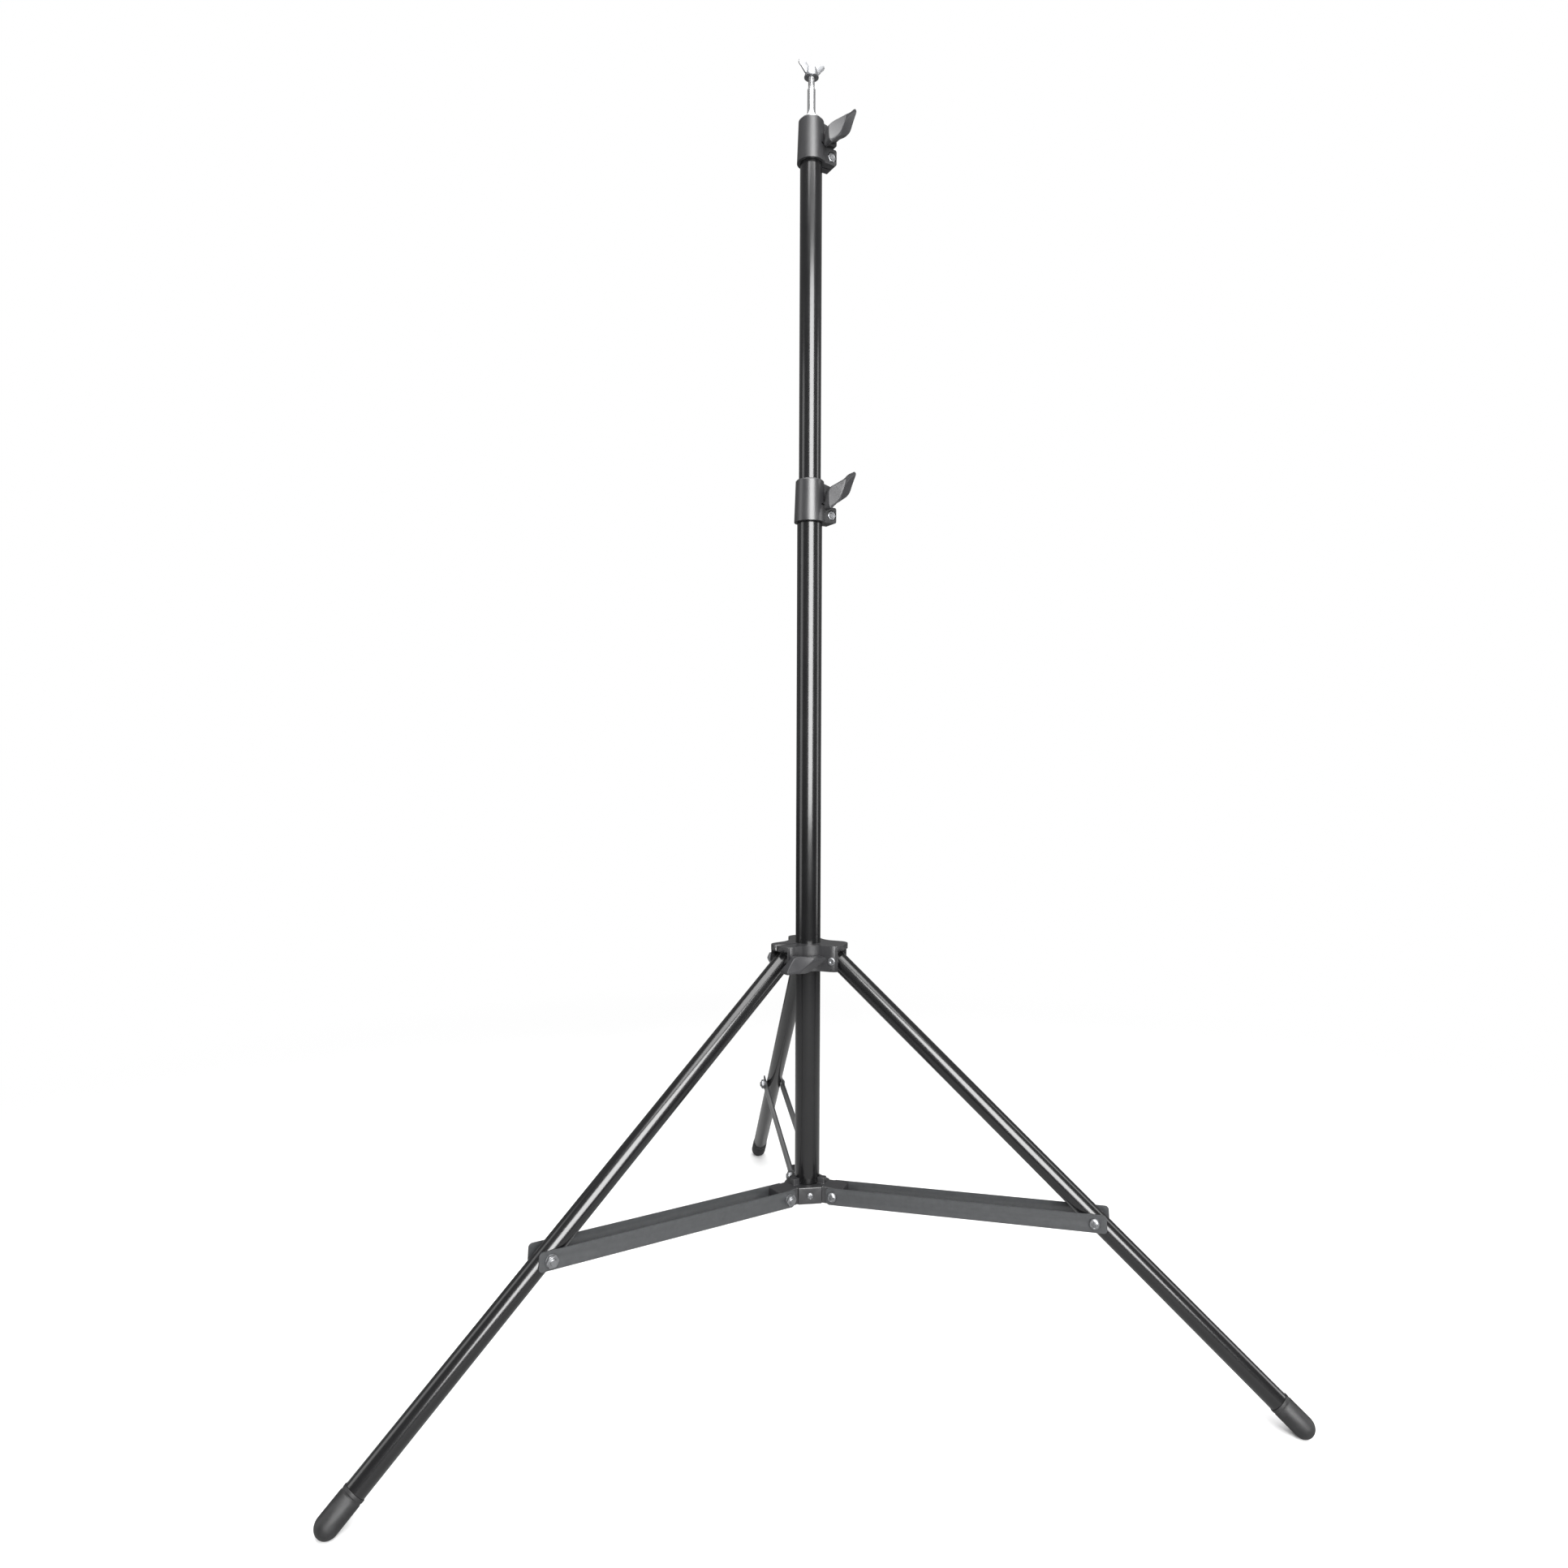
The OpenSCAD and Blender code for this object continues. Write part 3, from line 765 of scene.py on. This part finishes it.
# A pan head with a cross recess: the recess is pressed into the dome
cross = {"rows": 22, "arm": 0.62, "half": 0.13, "soft": 0.05, "dome": 2.6, "flat": 0.5}


def panHead(radius, height, recess):
    rows = cross["rows"]

    def recessDepth(x, y):
        arm, half, soft = (radius * cross[key] for key in ("arm", "half", "soft"))

        def inside(u, v):
            along = min(1.0, max(0.0, (arm - abs(u)) / soft / 2.5))
            across = min(1.0, max(0.0, (half + soft * 0.5 - abs(v)) / soft))
            return along * across

        return recess * max(inside(x, y), inside(y, x))

    def level(share):
        def place(angle):
            reach = radius * share
            curve = math.sqrt(max(0.0, 1 - share ** cross["dome"]))
            dome = height * (1 - (1 - curve) * (1 - cross["flat"] * 0.2))
            x, y = reach * math.cos(angle), reach * math.sin(angle)
            return reach, dome - recessDepth(x, y)

        return place

    shares = [1 - step / rows for step in range(rows)]
    side = rounded([(0, 0, 0), (radius * 0.97, 0, 0), (radius, height * 0.12, radius * 0.05)], 2)
    return polar(side + [level(share) for share in shares[1:]] + [(0, height - recess)], 96, "panHead")


# A threaded end: the radius follows the helix, with a chamfer at the tip
def threadedRod(radius, length, pitch, depth, point=0.0008):
    perTurn = 8
    rows = max(4, round(length / pitch * perTurn))

    def level(height):
        def place(angle):
            phase = (height / pitch - angle / math.tau) % 1.0
            groove = depth * (1 - abs(2 * phase - 1) * 1.25)
            groove = min(depth, max(0.0, groove))
            ends = min(1.0, (length - height) / point, height / pitch)
            limit = radius - depth * (1 - min(1.0, (length - height) / point))
            return min(limit, radius - groove * max(0.0, ends)), height

        return place

    heights = [length * step / rows for step in range(rows + 1)]
    levels = [(0, 0.0)] + [level(height) for height in heights]
    cap = rounded([(radius - depth, length, 0), (radius * 0.5, length, 0)], 2)
    return polar(levels + cap + [(0, length)], 40, "threadedRod")


def shaft(radius, low, high):
    chamfer = radius * 0.12
    outline = [(0, low), (radius - chamfer, low), (radius, low + chamfer)]
    outline += [(radius, high - chamfer), (radius - chamfer, high), (0, high)]
    return polar(outline, 40, "shaft")


def rivetHead(radius, height):
    outline = [
        (0, 0, 0),
        (radius * 0.98, 0, 0),
        (radius, height * 0.35, radius * 0.06),
        (radius * 0.86, height, radius * 0.16),
        (radius * 0.34, height * 1.02, radius * 0.1),
        (radius * 0.26, height * 0.62, radius * 0.08),
        (0, height * 0.5, 0),
    ]
    return polar(rounded(outline, 4), 64, "rivetHead")


lying = Matrix.Rotation(math.radians(90), 4, "X")
standing = Matrix.Identity(4)


def shifted(height, flip=False):
    place = Matrix.Translation((0, 0, height))
    return place @ Matrix.Rotation(math.pi, 4, "X") if flip else place


# A bolt across an arm: its head on the -Y side of the arm, its end and nut on the +Y side
pivotBolt = {"face": 0.0115, "end": 0.0171}


def pivotBoltParts(face, end, tail):
    head = panHead(hardware["head"], hardware["headHeight"], hardware["recess"])
    rod = shaft(hardware["shaft"], -tail, face + hardware["overlap"])
    tip = threadedRod(hardware["shaft"], end - tail, hardware["pitch"], hardware["thread"])
    return [(head, lying @ shifted(face)), (rod, lying), (tip, lying @ shifted(-tail, True))]


def lockNut():
    bore = hardware["shaft"] + hardware["fit"]
    return hexNut(hardware["nut"], hardware["nutHeight"], bore, hardware["flange"], hardware["nylon"])


def hubHardware():
    pivot = Vector(joints["rear_brace_pivot"]["pos_m"])
    offset = Vector((pivot.y, 0, pivot.z))
    first = arms["rear"]
    face = pivotBolt["face"]
    bolts = joined("hubBolt", pivotBoltParts(face, pivotBolt["end"], face + hardware["tail"]))
    mesh = roundColumn("hubBolts", bolts, offset, "zinc_plate", first)
    finished("hubBolts", mesh, "hub_pivot_bolts", "zinc_plate", angle=38)
    nut = joined("hubNut", [(lockNut(), lying @ shifted(-face, True))])
    mesh = roundColumn("hubNuts", nut, offset, "zinc_plate", first)
    finished("hubNuts", mesh, "hub_pivot_nuts", "zinc_plate", angle=32)


hubScrew = {
    "radius": 0.0034,
    "height": 0.002,
    "recess": 0.0009,
    "shank": 0.002,
    "flat": 0.020,
    "inner": 0.0113,
}


def hubScrews():
    height = middle("hub_screws").z
    outward = Matrix.Rotation(math.radians(90), 4, "Y")
    head = panHead(hubScrew["radius"], hubScrew["height"], hubScrew["recess"])
    rod = shaft(hubScrew["shank"], hubScrew["inner"], hubScrew["flat"] + hardware["overlap"])
    screw = joined("hubScrew", [(head, outward @ shifted(hubScrew["flat"])), (rod, outward)])
    mesh = roundColumn("hubScrews", screw, Vector((0, 0, height)), "zinc_plate", arms["rear"] + math.pi)
    finished("hubScrews", mesh, "hub_screws", "zinc_plate", angle=38)


rivet = {"radius": 0.004, "height": 0.0014, "face": 0.016, "shaft": 0.003}


def collarRivets():
    pivot = Vector(joints["rear_leg_pivot"]["pos_m"])
    head = rivetHead(rivet["radius"], rivet["height"])
    reach = rivet["face"] + hardware["overlap"]
    rod = shaft(rivet["shaft"], -reach, reach)
    parts = [
        (head, lying @ shifted(rivet["face"])),
        (head, lying @ shifted(-rivet["face"], True)),
        (rod, lying),
    ]
    template = joined("collarRivet", parts)
    offset = Vector((pivot.y, 0, pivot.z))
    mesh = roundColumn("collarRivets", template, offset, "zinc_plate", arms["right"], 2)
    finished("collarRivets", mesh, "collar_rivets", "zinc_plate", angle=38)


hubHardware()
hubScrews()
collarRivets()


braceBolt = {"face": 0.0114, "inner": 0.010, "end": 0.0170}


def armPlace(side, point):
    turn = Matrix.Rotation(arms[side], 4, "Z")
    return Matrix.Translation(point) @ turn


def braceHardware(side):
    place = armPlace(side, middle(side + "_leg_shank"))
    face, inner = braceBolt["face"], braceBolt["inner"]
    head = panHead(hardware["head"], hardware["headHeight"], hardware["recess"])
    stub = shaft(hardware["shaft"], inner, face + hardware["overlap"])
    bolt = joined(side + "BraceBolt", [(head, place @ lying @ shifted(face)), (stub, place @ lying)])
    finished(side + "BraceBolt", bolt, side + "_brace_bolt", "zinc_plate", angle=38)
    tail = face + hardware["tail"]
    rod = shaft(hardware["shaft"], -tail, -inner)
    tip = threadedRod(hardware["shaft"], braceBolt["end"] - tail, hardware["pitch"], hardware["thread"])
    parts = [
        (lockNut(), place @ lying @ shifted(-face, True)),
        (rod, place @ lying),
        (tip, place @ lying @ shifted(-tail, True)),
    ]
    finished(side + "BraceNut", joined(side + "BraceNut", parts), side + "_brace_nut", "zinc_plate")


for side in arms:
    braceHardware(side)
print("fasteners built")


# A CAD shape with softened edges
softening = {"weld": 0.00006, "flat": 0.4, "rimSteps": 5, "angle": 28, "sliver": 0.000003}


def cutLarge(builder):
    large = [face for face in builder.faces if len(face.verts) > 4]
    bmesh.ops.triangulate(builder, faces=large, quad_method="BEAUTY", ngon_method="BEAUTY")


def softCopy(name, node, slotName, width, segments=3, rim=None, clamped=True):
    builder = bmesh.new()
    builder.from_mesh(frame["nodes"][node].data)
    bmesh.ops.remove_doubles(builder, verts=builder.verts, dist=softening["weld"])
    flat = math.radians(softening["flat"])
    bmesh.ops.dissolve_limit(builder, angle_limit=flat, verts=builder.verts, edges=builder.edges)
    if rim:
        chosen, rimWidth = rim
        edges = [edge for edge in builder.edges if chosen(edge)]
        bmesh.ops.bevel(
            builder,
            geom=edges,
            offset=rimWidth,
            offset_type="OFFSET",
            segments=softening["rimSteps"],
            profile=0.5,
            affect="EDGES",
            clamp_overlap=True,
        )
    cutLarge(builder)
    mesh = meshFrom(builder, name)
    mesh.materials.clear()
    carrier = bpy.data.objects.new(name, mesh)
    scene.collection.objects.link(carrier)
    bevel = carrier.modifiers.new("soften", "BEVEL")
    bevel.width = width
    bevel.segments = segments
    bevel.limit_method = "ANGLE"
    bevel.angle_limit = math.radians(softening["angle"])
    bevel.use_clamp_overlap = clamped
    bevel.miter_outer = "MITER_ARC"
    carrier.modifiers.new("weigh", "WEIGHTED_NORMAL").keep_sharp = True
    depsgraph = bpy.context.evaluated_depsgraph_get()
    soft = bpy.data.meshes.new_from_object(carrier.evaluated_get(depsgraph))
    bpy.data.objects.remove(carrier)
    cleaner = bmesh.new()
    cleaner.from_mesh(soft)
    bmesh.ops.dissolve_degenerate(cleaner, edges=cleaner.edges, dist=softening["sliver"])
    cutLarge(cleaner)
    cleaner.to_mesh(soft)
    cleaner.free()
    return finished(name, soft, node, slotName, angle=30)


for side in arms:
    softCopy(side + "Brace", side + "_brace_bars", "grey_paint", 0.0003, 2)
softCopy("hubCasting", "hub_body", "black_plastic", 0.0006, clamped=False)


# The top edge of the collar, away from its bore and its seam
def collarRim(edge):
    def onRim(vertex):
        spot = vertex.co
        aside = abs(seam.cross(spot).z) < 0.001 and seam.dot(spot) > 0
        return abs(spot.z - top) < 1e-5 and math.hypot(spot.x, spot.y) > bore and not aside

    return all(onRim(vertex) for vertex in edge.verts) and len(edge.link_faces) == 2


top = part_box("leg_collar_body")[1][2]
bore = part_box("lower_tube")[1][0] + 0.003
seam = Vector((math.cos(arms["left"]), math.sin(arms["left"]), 0))
softCopy("legCollar", "leg_collar_body", "black_plastic", 0.0006, rim=(collarRim, 0.0018))
for place in ("lower", "upper"):
    softCopy(place + "Clamp", place + "_clamp_body", "black_plastic", 0.0006)
print("castings softened")


# Clamp fasteners: a small screw and a nut through the lower lug, and the nut behind the knob
clampHardware = {
    "flats": 0.008,
    "height": 0.003,
    "bore": 0.0025,
    "fit": 0.00003,
    "recess": 0.001,
    "tip": 0.001,
    "pitch": 0.0008,
    "thread": 0.0003,
    "point": 0.0005,
    "backFlats": 0.0099,
    "backFit": 0.00005,
    "collarFlats": 0.010,
    "nylon": 0.0005,
}


def nodeSpan(node, axis):
    along = Vector(axis).normalized()
    reach = [vertex.co.dot(along) for vertex in frame["nodes"][node].data.vertices]
    return min(reach), max(reach)


def onAxis(node, axis):
    centre = middle(node)
    axis = Vector(axis).normalized()
    return basis(centre - axis * centre.dot(axis), axis)


def clampFasteners(place):
    axis = Vector(joints[place + "_clamp_knob_turn"]["axis"]).normalized()
    nutNode, boltNode, backNode = (place + "_clamp_" + word for word in ("nut", "bolt", "captive_nut"))
    low, high = nodeSpan(nutNode, axis)
    across = onAxis(nutNode, axis)
    nut = hexNut(clampHardware["flats"], high - low, clampHardware["bore"])
    finished(place + "ClampNut", joined("nut", [(nut, across @ shifted(low))]), nutNode, "zinc_plate")
    low, high = nodeSpan(boltNode, axis)
    radius = clampHardware["bore"] - clampHardware["fit"]
    tipLength, height = clampHardware["tip"], clampHardware["height"]
    pitch, thread, point = (clampHardware[key] for key in ("pitch", "thread", "point"))
    head = panHead(clampHardware["flats"] / 2, height, clampHardware["recess"])
    rod = shaft(radius, low + tipLength, high - tipLength)
    tip = threadedRod(radius, tipLength, pitch, thread, point)
    parts = [
        (head, across @ shifted(low + height, True)),
        (rod, across),
        (tip, across @ shifted(high - tipLength)),
    ]
    finished(place + "ClampBolt", joined("bolt", parts), boltNode, "zinc_plate")
    low, high = nodeSpan(backNode, axis)
    back = hexNut(clampHardware["backFlats"], high - low, hardware["shaft"] + clampHardware["backFit"])
    turned = onAxis(backNode, axis) @ Matrix.Rotation(math.radians(30), 4, "Z") @ shifted(low)
    finished(place + "BackNut", joined("backNut", [(back, turned)]), backNode, "zinc_plate")


for place in ("lower", "upper"):
    clampFasteners(place)


def collarFastener():
    node, axis = "collar_captive_nut", joints["collar_knob_turn"]["axis"]
    low, high = nodeSpan(node, axis)
    nylon = clampHardware["nylon"]
    bore = hardware["shaft"] + clampHardware["backFit"]
    nut = hexNut(clampHardware["collarFlats"], high - low - nylon, bore, 0.0, nylon)
    placed = joined("collarNut", [(nut, onAxis(node, axis) @ shifted(high, True))])
    finished("collarNut", placed, node, "zinc_plate")


collarFastener()
print("clamp fasteners built")


# Wing knobs: an S-shaped wing on a round hub, with a ridge along its face
knob = {
    "hub": 0.007,
    "hubTop": 0.0074,
    "rise": 0.008,
    "depth": 0.021,
    "outline": (
        (24, 1.2, 2.4),
        (24, 4.6, 2.0),
        (16, 4.4, 6),
        (8.7, 6.2, 5),
        (-2.9, 9.2, 5),
        (-9.0, 8.8, 5),
    ),
    "bow": 15.5,
    "shift": 0.014,
    "sag": 0.003,
    "slope": 0.62,
    "soft": 0.0005,
    "edge": 0.0007,
    "bore": 0.0031,
}


def wingRadius():
    half = [(x / 1000, y / 1000, fillet / 1000) for x, y, fillet in knob["outline"]]
    whole = half + [(-x, -y, fillet) for x, y, fillet in half]
    corners = [Vector(point) for point in rounded(whole, 8, True)]

    def radius(angle):
        ray = Vector((math.cos(angle), math.sin(angle)))
        best = 0.0
        for here, after in zip(corners, corners[1:] + corners[:1]):
            edge = after - here
            bottom = ray.x * edge.y - ray.y * edge.x
            if abs(bottom) < 1e-12:
                continue
            reach = (here.x * edge.y - here.y * edge.x) / bottom
            share = (here.x * ray.y - here.y * ray.x) / bottom
            if reach > 0 and -1e-9 <= share <= 1 + 1e-9:
                best = max(best, reach)
        return best

    return radius


wingReach = wingRadius()


# Height of the knob's face: flat between two ridges, and sloping away beyond each
def faceHeight(u, v):
    def ridge(at):
        return knob["bow"] * (at + knob["shift"]) ** 2 - knob["sag"]

    fall = 0.0
    for beyond in (v - ridge(u), -v - ridge(-u)):
        fall += (math.hypot(beyond, knob["soft"]) + beyond) / 2
    return knob["depth"] - knob["slope"] * fall


def knobMesh():
    rise, hub, edge = knob["rise"], knob["hub"], knob["edge"]

    def blend(share, scale, height):
        def place(angle):
            return knob["hubTop"] * (1 - share) + wingReach(angle) * scale * share, height

        return place

    def face(share, drop=0.0):
        def place(angle):
            reach = wingReach(angle) * share
            return reach, faceHeight(reach * math.cos(angle), reach * math.sin(angle)) - drop

        return place

    levels = [(0, 0.012), (knob["bore"], 0.012), (knob["bore"], 0.0004), (knob["bore"] + 0.0004, 0.0)]
    levels += [(hub - 0.0006, 0.0), (hub, 0.0006), (hub + 0.0001, rise * 0.5), (knob["hubTop"], rise)]
    levels += [blend(share, 0.985, rise + 0.0004 + 0.0014 * share) for share in (0.12, 0.35, 0.65, 0.9, 1.0)]
    levels += [blend(1.0, 1.0, rise + 0.0026), face(1.0, 2 * edge), face(0.997, edge), face(0.985, edge * 0.35)]
    levels += [face(0.965)] + [face(1 - step / 30) for step in range(2, 30)] + [(0, knob["depth"] - 0.0002)]
    return polar(levels, 180, "knobMesh")


knobShape = knobMesh()
knobTurns = {"lower_clamp_knob": 46, "upper_clamp_knob": 46, "collar_knob": 4}


def knobPlace(name):
    joint = joints[name + "_turn"]
    axis = Vector(joint["axis"]).normalized()
    level = upward.cross(axis)
    seat = nodeSpan(name + "_grip", axis)[0]
    origin = Vector(joint["pos_m"])
    origin = origin + axis * (seat - origin.dot(axis))
    return basis(origin, axis, level) @ Matrix.Rotation(math.radians(knobTurns[name]), 4, "Z")


for name in knobTurns:
    grip = joined(name + "Grip", [(knobShape, knobPlace(name))])
    words = name.split("_")
    label = words[0] + "".join(word.capitalize() for word in words[1:])
    finished(label, grip, name + "_grip", "knob_plastic", angle=34)
print("knobs built")


# Stud: a flared shoulder, a plain pin and a threaded end
stud = {
    "neck": 0.004,
    "thread": 0.0032,
    "flare": 0.009,
    "lip": 0.001,
    "plain": 0.020,
    "pitch": 0.00125,
    "depth": 0.0006,
    "chamfer": 0.0006,
}


def buildStud():
    low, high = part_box("stud_plug")
    tubeLow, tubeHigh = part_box("top_tube")
    tubeTop = tubeHigh[2]
    outer = (tubeHigh[0] - tubeLow[0]) / 2
    bore = outer - column["wall"]
    neck, thread, flare, lip = (stud[key] for key in ("neck", "thread", "flare", "lip"))
    threadBase = tubeTop + lip + flare + stud["plain"]
    core = thread - stud["depth"]
    outline = [(0, low[2], 0), (bore, low[2], 0.0008), (bore, tubeTop, 0), (outer, tubeTop, 0.0002)]
    outline += [(outer, tubeTop + 0.0011, 0.0004)]
    for degrees in range(15, 91, 15):
        angle = math.radians(degrees)
        radius = neck + (outer - neck - lip) * (1 - math.sin(angle))
        outline.append((radius, tubeTop + lip + flare * (1 - math.cos(angle)), 0.0008))
    outline += [(neck, threadBase, stud["chamfer"]), (core, threadBase + 0.0004, 0.0001)]
    outline += [(core, threadBase + 0.002, 0), (0, threadBase + 0.002, 0)]
    pin = polar(rounded(outline, 4), 72, "stud")
    rod = threadedRod(thread, high[2] - threadBase - lip, stud["pitch"], stud["depth"], lip)
    mesh = joined("stud", [(pin, standing), (rod, shifted(threadBase + lip))])
    finished("stud", mesh, "stud_plug", "stud_chrome", angle=36)


buildStud()


washer = {"bore": 0.0034, "edge": 0.0002}


def buildWasher():
    low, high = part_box("stud_washer")
    outer = (high[0] - low[0]) / 2
    bore, edge = washer["bore"], washer["edge"]
    outline = [(bore, low[2], edge), (outer, low[2], edge)]
    outline += [(outer, high[2], edge * 1.5), (bore, high[2], edge)]
    profile = rounded(outline, 3, True)
    mesh = polar(profile + profile[:1], 64, "washer")
    finished("washer", mesh, "stud_washer", "zinc_plate")


buildWasher()


# Wing nut: a conical hub and two wings that rise and spread from it
wingNut = {
    "base": 0.00685,
    "top": 0.0046,
    "height": 0.0085,
    "turn": 15,
    "bore": 0.00325,
    "wings": 0.0145,
    "rise": 0.017,
    "rows": 14,
    "around": 20,
    "start": 0.0032,
    "inset": 0.0036,
    "foot": 0.46,
    "outCurve": 1.15,
    "upCurve": 1.35,
    "tall": (0.0074, 0.0072),
    "thick": (0.0034, 0.0022),
    "slope": (38, 16),
    "roundFrom": 0.72,
    "roundCurve": 2.4,
    "tip": 0.0034,
    "square": 0.6,
}


def wingMesh():
    builder = bmesh.new()
    rows, around = wingNut["rows"], wingNut["around"]
    start, inset = wingNut["start"], wingNut["inset"]
    foot = wingNut["height"] * wingNut["foot"]
    squareness = wingNut["square"]
    rings = []
    for row in range(rows + 1):
        t = row / rows
        tip = max(0.0, (t - wingNut["roundFrom"]) / (1 - wingNut["roundFrom"]))
        out = start + (wingNut["wings"] - start - inset) * t ** wingNut["outCurve"]
        up = foot + (wingNut["rise"] - inset - foot) * t ** wingNut["upCurve"]
        tall = wingNut["tall"][0] * (1 - t) + wingNut["tall"][1] * t
        tall *= math.sqrt(max(0.0, 1 - tip ** wingNut["roundCurve"]))
        thick = wingNut["thick"][0] * (1 - t) + wingNut["thick"][1] * t
        thick *= 1.0 if t < 0.9 else 0.8
        slope = math.radians(wingNut["slope"][0] + wingNut["slope"][1] * t)
        extra = tip * wingNut["tip"]
        centre = Vector((out + extra * math.sin(slope) * 0.9, 0, up + extra * math.cos(slope) * 0.2))
        direction = Vector((-math.sin(slope), 0, math.cos(slope)))
        ring = []
        for step in range(around):
            angle = math.tau * step / around
            a, b = math.cos(angle), math.sin(angle)
            a = math.copysign(abs(a) ** squareness, a)
            b = math.copysign(abs(b) ** squareness, b)
            spot = centre + direction * a * tall / 2 + Vector((0, b * thick / 2, 0))
            ring.append(builder.verts.new(spot))
        rings.append(ring)
    for low, high in zip(rings, rings[1:]):
        for step in range(around):
            after = (step + 1) % around
            builder.faces.new((low[step], low[after], high[after], high[step]))
    for ring in (rings[0], rings[-1]):
        builder.faces.new(ring)
    return meshFrom(builder, "wing")


def buildWingNut():
    low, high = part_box("wing_nut")
    base, top, height, bore = (wingNut[key] for key in ("base", "top", "height", "bore"))
    outline = [
        (bore, 0, 0.0003),
        (base, 0, 0.0005),
        (base - 0.0002, 0.0012, 0.0006),
        (top + 0.0003, height - 0.0004, 0.0008),
        (bore + 0.0006, height, 0.0003),
        (bore, height - 0.0004, 0.0002),
    ]
    profile = rounded(outline, 4, True)
    hub = polar(profile + profile[:1], 72, "hub")
    wing = wingMesh()
    turn = Matrix.Translation((0, 0, low[2])) @ Matrix.Rotation(math.radians(wingNut["turn"]), 4, "Z")
    opposite = turn @ Matrix.Rotation(math.pi, 4, "Z")
    mesh = joined("wingNut", [(hub, turn), (wing, turn), (wing, opposite)])
    finished("wingNut", mesh, "wing_nut", "zinc_plate", angle=36)


buildWingNut()
print("stud and wing nut built")


# CAD nodes that stay as they are take their slot's material
inner = {
    "black_plastic": [side + "_leg_plug" for side in arms],
    "bush_plastic": ["middle_bush", "top_bush"],
    "zinc_plate": [side + "_leg_shank" for side in arms] + [name + "_screw" for name in knobTurns],
}
paintOf = {node: slotName for slotName, nodes in inner.items() for node in nodes}
for node, item in frame["nodes"].items():
    slotName = paintOf.get(node, "black_plastic")
    item.data.materials.clear()
    item.data.materials.append(materials[slotName])
    smooth(item.data)


# Floor and lights
studio = {
    "floor": 0.82,
    "world": 0.24,
    "mirrored": 0.7,
    "dark": 0.12,
    "fade": (0.55, 1.6),
    "key": {"at": (0.22, -1.95, 1.35), "aim": (0, 0, 0.95), "size": (1.4, 1.9), "power": 118},
    "left": {"at": (-1.9, -0.2, 0.9), "aim": (0, 0, 0.6), "size": (0.8, 1.8), "power": 9},
    "right": {"at": (1.8, -0.3, 0.9), "aim": (0, 0, 0.6), "size": (0.5, 1.8), "power": 9},
    "top": {"at": (0, -0.5, 2.9), "aim": (0, 0, 0), "size": (2.2, 2.2), "power": 90},
}


def softbox(name, look):
    lamp = bpy.data.lights.new(name, "AREA")
    lamp.shape = "RECTANGLE"
    lamp.size, lamp.size_y = look["size"]
    lamp.energy = look["power"]
    item = bpy.data.objects.new(name, lamp)
    scene.collection.objects.link(item)
    aim = Vector(look["aim"]) - Vector(look["at"])
    item.matrix_world = Matrix.Translation(look["at"]) @ aim.to_track_quat("-Z", "Y").to_matrix().to_4x4()
    item.visible_camera = False


def addFloor():
    builder = bmesh.new()
    bmesh.ops.create_grid(builder, x_segments=1, y_segments=1, size=12)
    mesh = bpy.data.meshes.new("floor")
    builder.to_mesh(mesh)
    builder.free()
    floor = bpy.data.objects.new("floor", mesh)
    floor.location.z = -0.0002
    scene.collection.objects.link(floor)
    shader = Shader("paleFloor")
    cloud = shader.noise(3, 2)
    grey = studio["floor"]
    pale = grey * 1.04
    paint = shader.set(
        Base_Color=shader.mix(cloud, (grey, grey, grey), (pale, pale, pale)),
        Roughness=0.62 + 0.1 * cloud,
    )
    dark = shader.node("ShaderNodeEmission", None, {"Strength": studio["dark"]})
    rays = shader.node("ShaderNodeLightPath", out="Is Glossy Ray")
    flat = shader.node("ShaderNodeEmission", None, {"Strength": 1.0 - 0.9 * rays})
    radius = shader.node("ShaderNodeVectorMath", {"operation": "LENGTH"}, {0: shader.place}, out="Value")
    lit = Value(shader, shader.principled.outputs["BSDF"])
    near = shader.node("ShaderNodeMixShader", None, {0: studio["mirrored"] * rays, 1: lit, 2: dark})
    fade = shader.span(radius, *studio["fade"])
    whole = shader.node("ShaderNodeMixShader", None, {0: fade, 1: near, 2: flat})
    output = next(node for node in shader.tree.nodes if node.type == "OUTPUT_MATERIAL")
    shader.join(output, "Surface", whole)
    mesh.materials.append(paint)


# White to the camera, dim to everything that reflects it
def addWorld():
    world = bpy.data.worlds.new("world")
    scene.world = world
    world.use_nodes = True
    nodes, links = world.node_tree.nodes, world.node_tree.links
    nodes.clear()
    rays = nodes.new("ShaderNodeLightPath")
    seen = nodes.new("ShaderNodeBackground")
    seen.inputs["Color"].default_value = (1, 1, 1, 1)
    dim = nodes.new("ShaderNodeBackground")
    dim.inputs["Color"].default_value = (1, 1, 1, 1)
    dim.inputs["Strength"].default_value = studio["world"]
    mix = nodes.new("ShaderNodeMixShader")
    output = nodes.new("ShaderNodeOutputWorld")
    links.new(rays.outputs["Is Camera Ray"], mix.inputs["Fac"])
    links.new(dim.outputs[0], mix.inputs[1])
    links.new(seen.outputs[0], mix.inputs[2])
    links.new(mix.outputs[0], output.inputs["Surface"])


addFloor()
addWorld()
for name in ("key", "left", "right", "top"):
    softbox(name, studio[name])
print("stage set")
